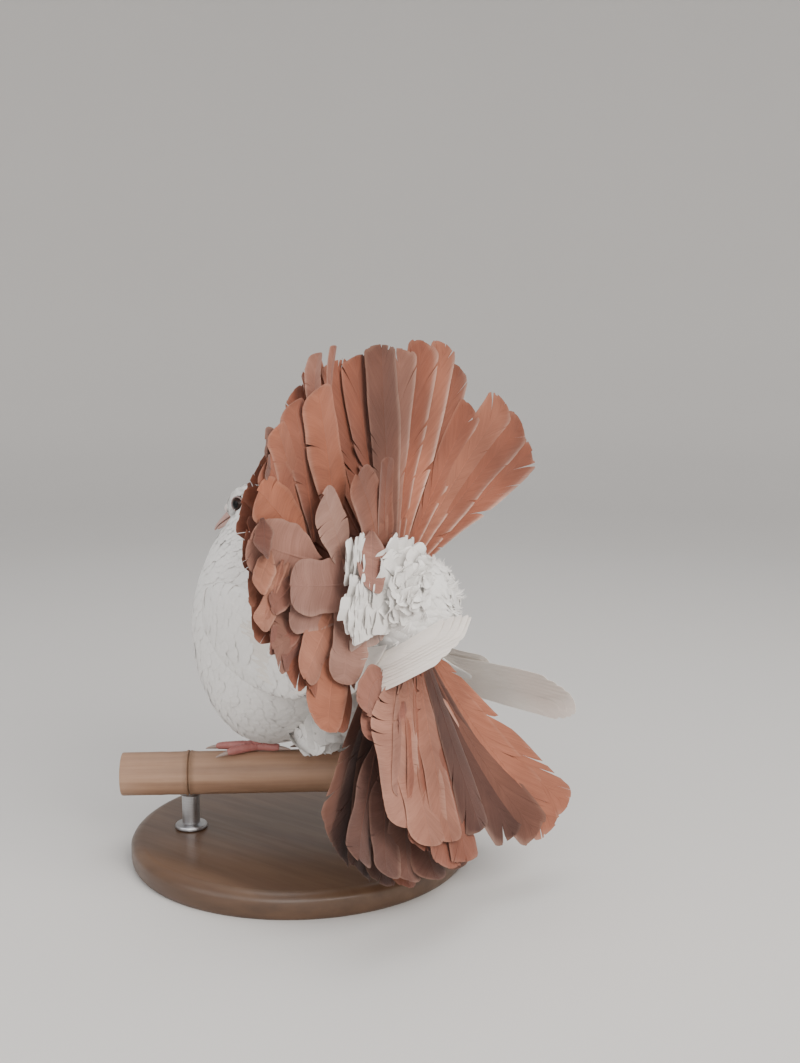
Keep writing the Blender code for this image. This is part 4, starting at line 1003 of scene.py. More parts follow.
def eye_material(side):
    """Dark brown iris round a black pupil under a clear wet surface."""
    sign = 1.0 if side == "left" else -1.0
    material, tree, shader = new_material(side + "_eye_gloss", (0.02, 0.01, 0.008), 0.22, Coat_Weight=0.12,
                                          Coat_Roughness=0.05, Specular_IOR_Level=0.12)
    place = tree.nodes.new("ShaderNodeTexCoord")
    _, y, z = axes(tree, place.outputs["Object"])
    eye = metres(EYE_CENTRE)
    dy = maths(tree, "SUBTRACT", y, float(eye[1]))
    dz = maths(tree, "SUBTRACT", z, float(eye[2]))
    reach = maths(tree, "SQRT", maths(tree, "ADD", maths(tree, "MULTIPLY", dy, dy),
                                       maths(tree, "MULTIPLY", dz, dz)))
    share = maths(tree, "MULTIPLY", reach, PER_MM / EYE_RADIUS)
    spin = maths(tree, "ARCTAN2", dy, dz)
    joined = tree.nodes.new("ShaderNodeCombineXYZ")
    tree.links.new(maths(tree, "MULTIPLY", spin, 9.0), joined.inputs[0])
    tree.links.new(maths(tree, "MULTIPLY", share, 2.0), joined.inputs[1])
    joined.inputs[2].default_value = sign
    rays = noise(tree, joined.outputs[0], 1.0, 3.0)
    iris = ramp(tree, rays, ((0.3, (0.010, 0.005, 0.004)), (0.7, (0.032, 0.013, 0.008))))
    pupil = ramp(tree, share, ((0.0, (0.0, 0.0, 0.0)), (0.40, (0.0, 0.0, 0.0)), (0.44, (1.0, 1.0, 1.0))))
    colour = mix(tree, pupil, (0.003, 0.003, 0.003), iris)
    tree.links.new(colour, shader.inputs["Base Color"])
    return material


def fleshy(name, low, high, roughness, scale, grain, relief):
    """Bare skin, horn or scutes with soft blotches and fine relief."""
    material, tree, shader = new_material(name, low, roughness, Subsurface_Weight=0.08,
                                          Subsurface_Scale=0.002)
    place = object_place(tree)
    colour = mix(tree, noise(tree, place, scale, 3.0), low, high)
    tree.links.new(colour, shader.inputs["Base Color"])
    bump(tree, shader, noise(tree, place, grain, 4.0, 0.6), 0.5, relief)
    return material


def pole_place(tree):
    """Coordinates with the pole's axis as Y."""
    place = tree.nodes.new("ShaderNodeTexCoord")
    turn = tree.nodes.new("ShaderNodeMapping")
    turn.vector_type = "TEXTURE"
    turn.inputs["Location"].default_value = tuple(float(v) for v in metres((0.0, 0.0, -PERCH_RADIUS)))
    turn.inputs["Rotation"].default_value = (0.0, 0.0, PERCH_ANGLE)
    tree.links.new(place.outputs["Object"], turn.inputs["Vector"])
    return turn.outputs["Vector"]


def axes(tree, vector):
    """The three coordinates of a vector socket."""
    parts = tree.nodes.new("ShaderNodeSeparateXYZ")
    tree.links.new(vector, parts.inputs[0])
    return parts.outputs


def bamboo_material():
    """Dry bamboo: long fibres, weathered streaks and darker joints."""
    material, tree, shader = new_material("bamboo_skin", (0.45, 0.27, 0.14), 0.5, Specular_IOR_Level=0.4)
    place = pole_place(tree)
    stretch = tree.nodes.new("ShaderNodeMapping")
    stretch.inputs["Scale"].default_value = (1.0, 0.035, 1.0)
    tree.links.new(place, stretch.inputs["Vector"])
    fibres = noise(tree, stretch.outputs["Vector"], 1400.0, 4.0, 0.6)
    streaks = noise(tree, stretch.outputs["Vector"], 240.0, 3.0)
    blotch = noise(tree, place, 60.0, 4.0, 0.6)
    colour = ramp(tree, streaks, ((0.25, (0.20, 0.105, 0.062)), (0.55, (0.36, 0.205, 0.125)),
                                  (0.85, (0.54, 0.36, 0.25))))
    colour = mix(tree, maths(tree, "MULTIPLY", fibres, 0.35), colour, (0.24, 0.14, 0.075))
    colour = mix(tree, maths(tree, "MULTIPLY", blotch, 0.45), colour, (0.47, 0.31, 0.225))
    lengthwise = axes(tree, place)[1]
    ring = None
    for joint in POLE_JOINTS:
        gap = maths(tree, "ABSOLUTE", maths(tree, "SUBTRACT", lengthwise, joint * MM))
        near = maths(tree, "SUBTRACT", 1.0, maths(tree, "MULTIPLY", gap, 260.0), clamp=True)
        ring = near if ring is None else maths(tree, "MAXIMUM", ring, near)
    colour = mix(tree, maths(tree, "MULTIPLY", ring, 0.6), colour, (0.13, 0.075, 0.042))
    tree.links.new(colour, shader.inputs["Base Color"])
    tree.links.new(maths(tree, "MULTIPLY_ADD", fibres, 0.3, 0.38), shader.inputs["Roughness"])
    bump(tree, shader, fibres, 0.35, 0.0003)
    return material


def cut_material():
    """Open end of the bamboo with its pale wall and a dark middle, painted shade of the hollow bore."""
    material, tree, shader = new_material("bamboo_cut", (0.60, 0.45, 0.28), 0.8)
    place = pole_place(tree)
    x, _, z = axes(tree, place)
    x2 = maths(tree, "MULTIPLY", x, x)
    z2 = maths(tree, "MULTIPLY", z, z)
    reach = maths(tree, "MULTIPLY", maths(tree, "SQRT", maths(tree, "ADD", x2, z2)), PER_MM / PERCH_RADIUS)
    pores = noise(tree, place, 2600.0, 2.0, 0.7)
    # the dark middle is painted shade of the bore; the darker outer ring is the bamboo's own skin
    colour = ramp(tree, reach, ((0.0, (0.20, 0.13, 0.075)), (0.55, (0.25, 0.165, 0.095)),
                                (0.66, (0.56, 0.42, 0.26)), (0.93, (0.62, 0.47, 0.30)),
                                (1.0, (0.36, 0.23, 0.12))))
    colour = mix(tree, maths(tree, "MULTIPLY", pores, 0.5), colour, (0.30, 0.20, 0.12))
    tree.links.new(colour, shader.inputs["Base Color"])
    bump(tree, shader, pores, 0.4, 0.0003)
    return material


def wood_material():
    """Dark waxed hardwood with lengthwise grain."""
    material, tree, shader = new_material("walnut_base", (0.12, 0.06, 0.03), 0.42, Coat_Weight=0.25,
                                          Coat_Roughness=0.25)
    place = object_place(tree, (1.0, 0.10, 1.0))
    grain = noise(tree, place, 260.0, 6.0, 0.62)
    rings = noise(tree, object_place(tree, (1.0, 0.05, 1.0)), 75.0, 4.0, 0.55)
    colour = ramp(tree, rings, ((0.30, (0.075, 0.038, 0.020)), (0.50, (0.115, 0.060, 0.032)),
                                (0.70, (0.150, 0.082, 0.045))))
    colour = mix(tree, maths(tree, "MULTIPLY", grain, 0.5), colour, (0.045, 0.022, 0.012))
    tree.links.new(colour, shader.inputs["Base Color"])
    tree.links.new(maths(tree, "MULTIPLY_ADD", grain, 0.22, 0.30), shader.inputs["Roughness"])
    bump(tree, shader, grain, 0.15, 0.0003)
    return material


def steel_material():
    """Brushed steel with faint turning marks."""
    material, tree, shader = new_material("rod_steel", (0.46, 0.46, 0.47), 0.32, Metallic=1.0)
    place = object_place(tree, (1.0, 1.0, 14.0))
    marks = noise(tree, place, 220.0, 3.0)
    colour = mix(tree, marks, (0.36, 0.36, 0.37), (0.55, 0.55, 0.56))
    tree.links.new(colour, shader.inputs["Base Color"])
    tree.links.new(maths(tree, "MULTIPLY_ADD", marks, 0.25, 0.22), shader.inputs["Roughness"])
    bump(tree, shader, marks, 0.08, 0.0001)
    return material


# Pieces

def shaped_ball(name, segments, rings, place, materials):
    """Closed form from a sphere whose rings and segments are put where place says."""
    bm = bmesh.new()
    bmesh.ops.create_uvsphere(bm, u_segments=segments, v_segments=rings, radius=1.0)
    table = np.array([vert.co for vert in bm.verts])
    t = np.arccos(np.clip(-table[:, 2], -1.0, 1.0)) / math.pi
    angle = np.arctan2(table[:, 1], table[:, 0])
    for vert, point in zip(bm.verts, metres(place(t, angle))):
        vert.co = point
    bmesh.ops.recalc_face_normals(bm, faces=bm.faces[:])
    return keep_mesh(bm, name, materials)


def join(pieces, name):
    """One mesh object from several."""
    bpy.ops.object.select_all(action="DESELECT")
    for piece in pieces:
        piece.select_set(True)
    bpy.context.view_layer.objects.active = pieces[0]
    bpy.ops.object.join()
    whole = bpy.context.view_layer.objects.active
    whole.name = name
    whole.data.name = name
    return whole


def finish(piece, slot, *nodes):
    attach(piece, BODY_NAME)
    if nodes:
        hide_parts(*nodes)


def head_share(points):
    """1 on the head and 0 below the neck."""
    return np.clip((points[..., 2] - 108.0 + (points[..., 1] + 30.0) * 0.25) / 22.0, 0.0, 1.0)


def body_spacing(points):
    head = head_share(points)
    face = np.clip(1.0 - np.linalg.norm(points - np.array((0.0, -46.0, 134.0)), axis=-1) / 18.0, 0.0, 1.0)
    return 4.3 - 2.75 * head - 0.55 * face


def clear_of_face(points):
    """0 where the eye and bill leave no room for feathers."""
    y = points[..., 1] - EYE_CENTRE[1]
    z = points[..., 2] - EYE_CENTRE[2]
    near_eye = (np.hypot(y, z) < 4.4) & (np.abs(points[..., 0]) > 5.0)
    forward = -y * math.cos(FACE_PITCH) - z * math.sin(FACE_PITCH)
    up = -y * math.sin(FACE_PITCH) + z * math.cos(FACE_PITCH)
    bill = (forward > 12.5) & (up < 2.6) & (up > -9.0) & (np.abs(points[..., 0]) < 4.4)
    return np.where(near_eye | bill, 0.0, 1.0)


def white_tints(root, rng):
    return np.array(settings().white) * rng.uniform(0.955, 1.0, (len(root), 1))


def even(distance):
    """The same distance between places everywhere."""
    return lambda points: np.full(points.shape[:-1], distance)


def everywhere(points):
    return np.ones(points.shape[:-1])


def build_skin():
    """One closed skin under the plumage of the torso, neck and head."""
    skin = shaped_ball("plumage_skin", 120, 160, lambda t, angle: body_place(t, angle, -1.9), [white_skin()])
    finish(skin, "white_feather", "torso", "neck", "head")


def build_body_feathers():
    """Small overlapping feathers over the whole skin, smaller and denser on the head."""
    cover = Cover(lambda t, angle: body_place(t, angle, -0.9))
    rng = np.random.default_rng(21)
    material = white_plume()
    long = settings().tuft_length / MM
    wide = settings().tuft_width / MM
    t, angle = cover.scatter(rng, body_spacing, clear_of_face, 9)
    low = head_share(cover.read(cover.points, t, angle)) < 0.55
    for chosen, name, rows, columns, dome in (
        (low, "body_feathers", 5, 4, 0.16),
        (~low, "head_feathers", 3, 2, 0.10),
    ):
        store = Plumage()
        lay_tufts(store, cover, (t[chosen], angle[chosen]), rng,
                  lambda p: long * (1.0 - 0.646 * head_share(p)),
                  lambda p: wide * (1.0 - 0.698 * head_share(p)),
                  lambda p: 0.14 - 0.04 * head_share(p), dome, rows=rows, columns=columns)
        finish(store.build(name, material, 45.0), "white_feather")


def build_belly_down():
    """White feathers of the belly that hang round the legs down to the perch."""
    cover = Cover(lambda t, angle: body_place(t, angle, -1.4), 200, 160)
    rng = np.random.default_rng(23)
    store = Plumage()

    def under(points):
        floor = np.interp(points[..., 1], (-14.0, 10.0, 32.0, 50.0), (3.5, 11.0, 29.0, 51.0))
        near = (points[..., 2] < floor + 10.0) & (points[..., 1] > 12.0) & (points[..., 1] < 50.0)
        near &= np.abs(points[..., 0]) < 25.0
        return np.where(near, 1.0, 0.0)

    t, angle = cover.scatter(rng, even(4.2), under, 8)
    roots = cover.read(cover.points, t, angle)
    normals = unit(cover.read(cover.normals, t, angle))
    step = np.linspace(0.0, 1.0, 9)[:, None]
    for root, normal, cell in zip(roots, normals, cells(len(t))):
        length = rng.uniform(17.0, 23.0)
        drop = min(0.97, max(0.08, (root[2] - rng.uniform(8.0, 11.0)) / length))
        axis = unit(np.array((root[0] * 0.004, math.sqrt(1.0 - drop ** 2) + 0.05, -drop)))
        out = unit(normal - axis * normal.dot(axis))
        side = np.cross(out, axis)
        spine = root - normal * 1.0 + axis * length * step + out * (1.5 * np.sin(step * math.pi))
        width = rng.uniform(9.0, 12.0)
        tint = np.array(WHITE) * rng.uniform(0.95, 1.0)
        vane(store, spine, side[None].repeat(9, 0), out[None].repeat(9, 0), length, width, rng, tint, cell,
             camber=1.2, blunt=0.8, groups=5, rows=2, columns=3, ragged=0.8, thick=0.22, shaft=False,
             fill=0.5)
    finish(store.build("belly_feathers", white_plume(), 50.0), "white_feather")


def face_place(forward, up, side):
    y = EYE_CENTRE[1] - forward * math.cos(FACE_PITCH) - up * math.sin(FACE_PITCH)
    z = EYE_CENTRE[2] - forward * math.sin(FACE_PITCH) + up * math.cos(FACE_PITCH)
    return np.stack((side, y, z), -1)


BILL_UPPER = (
    (8.0, -3.7, 3.2, 4.6),
    (14.0, -4.6, 2.2, 3.9),
    (20.0, -5.6, -1.0, 3.0),
    (26.0, -6.9, -3.9, 2.2),
    (31.0, -8.4, -6.6, 1.3),
    (33.5, -9.8, -8.7, 0.6),
)
BILL_LOWER = (
    (8.0, -4.0, -8.2, 4.2),
    (14.0, -4.9, -8.6, 3.5),
    (20.0, -5.9, -9.0, 2.6),
    (26.0, -7.2, -9.4, 1.8),
    (30.5, -8.6, -9.8, 0.8),
)


def bill_place(rows, t, angle):
    """Half of the bill: a dome over a flat cutting edge."""
    u = np.clip((t - 0.02) / 0.96, 0.0, 1.0) * (len(rows) - 1)
    row = blend(rows, u)
    close = np.sqrt(np.clip(np.minimum(t, 1.0 - t) / 0.02, 0.0, 1.0))
    middle = (row[..., 1] + row[..., 2]) / 2.0
    dome = np.where(np.sin(angle) > 0.0, np.abs(np.sin(angle)) ** 0.8, np.abs(np.sin(angle)) * 0.06)
    up = row[..., 1] + (row[..., 2] - row[..., 1]) * dome
    return face_place(row[..., 0], middle + (up - middle) * close, row[..., 3] * np.cos(angle) * close)


def build_bill():
    """Both halves of the bill and the powdery cere above them."""
    horn = fleshy("bill_horn", (0.44, 0.25, 0.21), (0.56, 0.37, 0.32), 0.42, 260.0, 1500.0, 0.0001)
    upper = shaped_ball("bill_upper_horn", 40, 48, lambda t, a: bill_place(BILL_UPPER, t, a), [horn])
    lower = shaped_ball("bill_lower_horn", 40, 48, lambda t, a: bill_place(BILL_LOWER, t, a), [horn])
    finish(upper, "bill", "bill_upper")
    finish(lower, "bill", "bill_lower")
    powder = fleshy("cere_skin", (0.66, 0.56, 0.53), (0.74, 0.68, 0.65), 0.8, 500.0, 2200.0, 0.0002)
    pads = []
    for sign in (1.0, -1.0):
        def pad(t, angle, sign=sign):
            tilt = FACE_PITCH + math.radians(22.0)
            z = -np.cos(t * math.pi)
            r = np.sin(t * math.pi)
            x = 2.6 * r * np.cos(angle)
            y = 4.6 * r * np.sin(angle)
            w = 2.3 * z * (1.0 - 0.18 * np.cos(angle * 3.0) * r)
            centre = face_place(np.array(15.4), np.array(1.4), np.array(1.7 * sign))
            return np.stack((centre[0] + x, centre[1] + y * math.cos(tilt) - w * math.sin(tilt),
                             centre[2] + y * math.sin(tilt) + w * math.cos(tilt)), -1)
        pads.append(shaped_ball("cere_pad", 32, 24, pad, [powder]))
    finish(join(pads, "cere_wattle"), "cere", "cere")


def build_eyes():
    """Dark glossy eyes in thin pale lids."""
    lid_skin = fleshy("lid_skin", (0.20, 0.13, 0.12), (0.34, 0.25, 0.23), 0.6, 700.0, 2600.0, 0.0002)
    for side, sign in (("left", 1.0), ("right", -1.0)):
        def ball(t, angle, sign=sign):
            z = -np.cos(t * math.pi)
            r = np.sin(t * math.pi)
            swell = 1.0 + 0.05 * np.clip(z, 0.0, 1.0) ** 6
            return np.stack((sign * (EYE_CENTRE[0] + EYE_RADIUS * z * swell),
                             EYE_CENTRE[1] + EYE_RADIUS * r * np.cos(angle),
                             EYE_CENTRE[2] + EYE_RADIUS * r * np.sin(angle)), -1)
        eye = shaped_ball(side + "_eye_ball", 48, 32, ball, [eye_material(side)])
        finish(eye, "eye", side + "_eye")
        bm = bmesh.new()
        bmesh.ops.create_grid(bm, x_segments=71, y_segments=11, size=1.0)
        for vert in bm.verts:
            theta = (vert.co.x + 1.0) * math.pi
            phi = (vert.co.y + 1.0) * math.pi
            squeeze = 1.0 - 0.08 * abs(math.sin(theta)) ** 2
            major = 4.35 * squeeze
            minor = 0.46 * (1.0 + 0.10 * math.sin(theta * 17.0) + 0.06 * math.sin(theta * 31.0 + 1.0))
            reach = major + minor * math.cos(phi)
            deep = 11.75 + minor * 0.9 * math.sin(phi) - 0.05 * (reach - 4.0)
            vert.co = metres((sign * deep, EYE_CENTRE[1] + reach * math.cos(theta),
                              EYE_CENTRE[2] + reach * math.sin(theta)))
        bmesh.ops.remove_doubles(bm, verts=bm.verts[:], dist=1e-6)
        bmesh.ops.recalc_face_normals(bm, faces=bm.faces[:])
        finish(keep_mesh(bm, side + "_lids", [lid_skin]), "eye")


def build_upper_fan():
    """Raised upper fan of broad tail feathers."""
    # 0.9 is the strength of the painted edge highlights
    piece = fan_feathers("upper_fan_feathers", UPPER_ROOT, UPPER_FAN, 4.0, 31, rust_feather(), 0.9)
    finish(piece, "tail_feather", "tail_upper")


def build_second_tier():
    """Shorter, rounder feathers that overlie the fan on the side of the camera."""
    rust = rust_feather()
    # 0.25 and 0.2 are the strengths of the painted edge highlights
    finish(plates("second_tier_feathers", SECOND_TIER, 71, rust, 0.25), "tail_feather")
    finish(plates("lower_curled_feathers", LOWER_TIER, 73, rust, 0.2), "tail_feather")


def build_lower_fans():
    """Hanging tail feathers of the two lower groups."""
    rust = rust_feather()
    left = fan_feathers("lower_left_feathers", LOWER_LEFT_ROOT, LOWER_LEFT_FAN, 200.0, 41, rust)
    finish(left, "tail_feather", "tail_lower_left")
    # 0.6 is the strength of the painted edge highlights
    right = fan_feathers("lower_right_feathers", LOWER_RIGHT_ROOT, LOWER_RIGHT_FAN, -200.0, 43, rust, 0.6)
    finish(right, "tail_feather", "tail_lower_right")


def strand_tuft(store, root, axis, side, length, spread, count, rng, tint, bake):
    """Downy tuft: thin tapered strands that splay from one root."""
    rows = 4
    t = np.linspace(0.0, 1.0, rows + 1)
    up = np.cross(axis, side)
    for i in range(count):
        lean = (i / max(count - 1, 1) - 0.5) * 2.0
        out = side * lean * spread + up * rng.uniform(-0.25, 0.35)
        reach = length * (1.0 - 0.25 * lean ** 2) * rng.uniform(0.8, 1.1)
        line = root + axis * (reach * t)[:, None] + out * (reach * t ** 1.6)[:, None]
        line += up * (rng.uniform(-0.12, 0.12) * reach * np.sin(t * math.pi))[:, None]
        wide = 0.55 * (1.0 - 0.85 * t ** 1.5) * rng.uniform(0.8, 1.2)
        flat = unit(side + up * rng.uniform(-0.7, 0.7))
        deep = np.cross(axis, flat)
        ring = []
        for k in range(3):
            a = k / 3.0 * 2.0 * math.pi
            ring.append(line + flat * (wide * math.cos(a))[:, None]
                        + deep * (wide * 0.45 * math.sin(a))[:, None])
        points = np.stack(ring, 1).reshape(-1, 3)
        quads = []
        for r in range(rows):
            for k in range(3):
                j = (k + 1) % 3
                quads.append((r * 3 + k, r * 3 + j, r * 3 + 3 + j, r * 3 + 3 + k))
        lie = np.stack((np.full(len(points), 0.5), t.repeat(3)), -1)
        patch = np.stack((np.full(len(points), lean * 0.0013), (t.repeat(3) - 0.5) * 0.003), -1)
        store.add(points, np.array(quads), lie, np.clip(np.asarray(bake) + patch, 0, 1), tint)
        ends = np.array([(2, 1, 0), (rows * 3, rows * 3 + 1, rows * 3 + 2)])
        store.faces.append(ends + store.count - len(points))


def covert_rows(rng):
    """Base, tip and width of the coverts that spread in rings round the tail's root."""
    middle = np.array((23.0, 0.0, 107.0))
    rows = []
    for count, reach, depth in COVERT_RINGS:
        for i in range(count):
            turn = 2.0 * math.pi * (i + rng.uniform(-0.35, 0.35)) / count
            wide = 32.0 if math.sin(turn) > 0.0 else 25.0
            tall = 25.0 if math.cos(turn) > 0.0 else 22.0
            out = np.array((math.sin(turn) * wide, 0.0, math.cos(turn) * tall)) * reach
            out = out * rng.uniform(0.85, 1.12)
            base = middle + out * 0.25 + np.array((0.0, depth - 1.0, 0.0))
            rows.append((base, middle + out + np.array((0.0, depth - 4.0, 0.0)), 13.0 * (0.6 + 0.4 * reach)))
    return rows


def lay_coverts(store, rng):
    """Loose curled coverts over the tail's root."""
    rows = covert_rows(rng)
    for (base, tip, width), cell in zip(rows, cells(len(rows))):
        spine, sides, rears, length = plate_spine(base, tip, rng.uniform(-3.0, 3.0), rng.uniform(0.5, 5.0),
                                                  rng.uniform(-14.0, 14.0))
        # painted light: white raised above the body's so the coverts look lit
        tint = np.array(WHITE) * rng.uniform(1.00, 1.10)
        vane(store, spine, sides, rears, length, width * rng.uniform(0.8, 1.1), rng, tint, cell, camber=2.0,
             blunt=0.6, groups=11, ragged=2.0, edge_curl=rng.uniform(-1.5, 2.5), thick=0.24, shaft=False,
             wavy=2.0)


def lay_white_tufts(store, rng):
    """Soft white feathers that reach out between the rust ones."""
    rear = np.array((0.0, 1.0, 0.0))
    for base, tip, width in WHITE_TUFTS:
        reach = np.subtract(tip, base)
        length = np.linalg.norm(reach)
        axis = reach / length
        side = unit(np.cross(axis, rear))
        for _ in range(int(width * 0.8)):
            start = np.array(base) + reach * rng.uniform(0.0, 0.62) + side * rng.uniform(-0.30, 0.30) * width
            start[1] += rng.uniform(-1.0, 1.0)
            lean = unit(axis + side * rng.uniform(-0.25, 0.25) + rear * rng.uniform(0.0, 0.15))
            end = start + lean * length * rng.uniform(0.42, 0.56)
            spine, sides, rears, long = plate_spine(start, end, rng.uniform(-1.0, 1.0), rng.uniform(0.0, 1.5),
                                                    rng.uniform(-5.0, 5.0))
            wide = rng.uniform(11.0, 14.0)
            # painted light: white raised above the body's so the fluff looks lit
            tint = np.array(WHITE) * rng.uniform(1.04, 1.10)
            cell = (rng.uniform(0.0, 0.98), rng.uniform(0.0, 0.98), 0.01, 0.01)
            vane(store, spine, sides, rears, long, wide, rng, tint, cell, camber=1.6, blunt=0.8, groups=7,
                 rows=2, columns=3, ragged=0.4, thick=0.2, shaft=False, wavy=0.7, fill=0.5)


def lay_down(store, cover, rng):
    """Downy tufts all round the tail's root."""
    t, angle = cover.scatter(rng, even(4.4), everywhere, 6)
    points = cover.read(cover.points, t, angle)
    normals = unit(cover.read(cover.normals, t, angle))
    for i in range(len(t)):
        away = points[i] - np.array((20.0, 112.0, 100.0))
        flow = unit(away - normals[i] * away.dot(normals[i]) + rng.normal(0.0, 3.0, 3))
        axis = unit(flow * 0.95 + normals[i] * 0.26)
        side = unit(np.cross(axis, normals[i]))
        bake = (np.mod(angle[i] / (2.0 * math.pi), 1.0), t[i])
        length = settings().down_length / MM * rng.uniform(0.82, 1.18)
        # painted light: white raised above the body's so the down looks lit
        strand_tuft(store, points[i] - normals[i], axis, side, length, 0.40, 15, rng,
                    np.array(WHITE) * rng.uniform(1.02, 1.10), bake)


def build_undertail():
    """Loose white coverts and down round the root of the tail."""
    white = white_plume()
    core = shaped_ball("tail_root_skin", 64, 48, lambda t, angle: root_place(t, angle, -3.0), [white_skin()])
    finish(core, "white_feather")
    rng = np.random.default_rng(53)
    coverts = Plumage()
    lay_coverts(coverts, rng)
    finish(coverts.build("undertail_coverts", white, 50.0), "white_feather")
    cover = Cover(lambda t, angle: root_place(t, angle, -1.0), 160, 160)
    down = Plumage()
    lay_white_tufts(down, rng)
    lay_down(down, cover, rng)
    finish(down.build("undertail_down", white, 60.0), "white_feather")
    petals = Plumage()
    spots = cover.scatter(rng, even(4.0), everywhere, 8)
    lay_tufts(petals, cover, spots, rng, lambda p: np.full(len(p), 14.0), lambda p: np.full(len(p), 9.0),
              lambda p: np.full(len(p), 1.3), 0.5, turn=0.45, flow=1.0)
    finish(petals.build("undertail_small_feathers", white, 45.0), "white_feather")


def wing_row(rows, row):
    """Spine, side and outward axes of a feather that lies along the folded wing."""
    begin, end, low, high, width, lift, lift_end = row
    t = np.linspace(0.0, 1.0, 33)
    u = begin + (end - begin) * t
    centre, out, rise, thick, tall = wing_frame(rows, u)
    across = low + (high - low) * t
    skin = thick * np.sqrt(np.clip(1.0 - (across / tall) ** 2, 0.0, 1.0)) * np.clip((5.0 - u) / 1.4, 0.0, 1.0)
    spine = centre + rise * across[:, None] + out * (skin + lift + (lift_end - lift) * t)[:, None]
    sign = math.copysign(1.0, rows[3][0])
    side = unit(rise * sign - out * 0.10)
    along = unit(np.gradient(spine, axis=0))
    face = unit(np.cross(along, side))
    if (face * out).sum() < 0.0:
        face = -face
        side = -side
    length = np.linalg.norm(np.diff(spine, axis=0), axis=1).sum()
    return spine, side, face, length, width


def wing_feathers():
    """Start, end, two offsets across, width, two lifts and tint of each flight and covert."""
    feathers = []
    for i in range(8):
        share = i / 7.0
        feathers.append((4.2 + 0.3 * share, 9.9 - 1.5 * abs(share - 0.45) * 1.6, -6.0 + 13.5 * share,
                         -7.5 + 13.5 * share, 12.0, -1.4 + 3.0 * share, -1.6 + 3.2 * share, CREAM))
    for i in range(7):
        share = i / 6.0
        feathers.append((3.1 - 0.2 * share, 6.3 + 0.5 * share, -10.0 + 18.0 * share,
                         -6.0 + 14.0 * share, 13.0, -1.6 + 1.4 * share, 2.2 + 1.8 * share, CREAM))
    for i in range(7):
        share = i / 6.0
        feathers.append((2.7, 5.0 - 0.3 * abs(share - 0.5), -12.0 + 22.0 * share,
                         -10.0 + 18.0 * share, 13.0, -2.2 + 1.2 * share, 1.6 + 1.6 * share,
                         (0.70, 0.66, 0.61)))
    return feathers


def build_wings():
    """Folded wings: small white feathers in front, cream coverts and long flights behind."""
    cream = pale_material("cream_feather", (0.76, 0.70, 0.645), 130.0, 0.92)
    white = white_plume()
    feathers = wing_feathers()
    for name, rows, seed in (("left_wing", LEFT_WING, 61), ("right_wing", RIGHT_WING, 67)):
        rng = np.random.default_rng(seed)
        store = Plumage()
        places = cells(len(feathers))
        for row, cell in zip(feathers, places):
            spine, side, face, length, width = wing_row(rows, row[:7])
            # painted light: tints raised up to 7 % to brighten the shaded side of the far wing; the near wing
            # gets the same
            tint = np.array(row[7]) * np.array(settings().cream) / np.array(CREAM) * rng.uniform(1.0, 1.07)
            vane(store, spine, side, face, length, width, rng, tint, cell, camber=0.9, blunt=0.9, groups=12,
                 ragged=0.08, base=0.02, wavy=0.2)
        finish(store.build(name + "_feathers", cream, 50.0), "wing_feather", name)
        form = shaped_ball(name + "_form", 48, 48, lambda t, a, r=rows: wing_place(r, WING_END, t, a, -0.8),
                           [white_skin()])
        finish(form, "wing_feather")
        cover = Cover(lambda t, a, r=rows: wing_place(r, WING_END, t, a, -0.2), 200, 160)
        small = Plumage()

        def front(points):
            return np.where(points[..., 1] < 46.0, 1.0, 0.0)

        spots = cover.scatter(rng, even(4.0), front, 8)
        lay_tufts(small, cover, spots, rng, lambda p: 13.0 + 0.05 * p[:, 1], lambda p: 8.6 + 0.03 * p[:, 1],
                  lambda p: 0.2 + 0.02 * np.maximum(p[:, 1], 0.0), 0.18, flow=1.0)
        finish(small.build(name + "_small_feathers", white, 45.0), "wing_feather")


def perch_place(along, around, height):
    """Point by distance along the pole, turn about it and distance from its axis."""
    x = -math.sin(PERCH_ANGLE) * along + math.cos(PERCH_ANGLE) * np.sin(around) * height
    y = math.cos(PERCH_ANGLE) * along + math.sin(PERCH_ANGLE) * np.sin(around) * height
    z = -PERCH_RADIUS + np.cos(around) * height
    return np.stack((x, y, z), -1)


def tube_place(line, radii, t, angle, ripple=None):
    """Point of a rounded bar along a line."""
    line = np.asarray(line, float)
    steps = np.concatenate(((0.0,), np.cumsum(np.linalg.norm(np.diff(line, axis=0), axis=1))))
    dense = np.linspace(0.0, steps[-1], 120)
    path = np.stack([np.interp(dense, steps, line[:, k]) for k in range(3)], -1)
    for _ in range(10):
        path[1:-1] = (path[:-2] + 2.0 * path[1:-1] + path[2:]) / 4.0
    size = np.interp(dense, steps, radii)
    ahead = unit(np.gradient(path, axis=0))
    guide = np.array((0.0, 0.0, 1.0)) if abs(ahead[:, 2]).mean() < 0.8 else np.array((1.0, 0.0, 0.0))
    side = unit(np.cross(ahead, guide))
    up = np.cross(side, ahead)
    past = (np.maximum(0.06 - t, 0.0) + np.maximum(t - 0.94, 0.0)) / 0.06
    close = np.sqrt(np.clip(1.0 - past ** 2, 0.0, 1.0))
    where = t * steps[-1]

    def read(table):
        return np.stack([np.interp(where, dense, table[:, k]) for k in range(3)], -1)

    radius = np.interp(where, dense, size) * close
    if ripple is not None:
        radius = radius * ripple(t, angle)
    return (read(path) + read(side) * (radius * np.cos(angle))[..., None]
            + read(up) * (radius * np.sin(angle))[..., None])


def toe_line(origin, turn, start, length, radius, count=9):
    s = np.linspace(start, length, count)
    height = PERCH_RADIUS + GAP + radius
    lift = 0.5 * np.exp(-s / 5.0)
    return perch_place(origin - s * math.cos(turn), s * math.sin(turn) / height, height + lift)


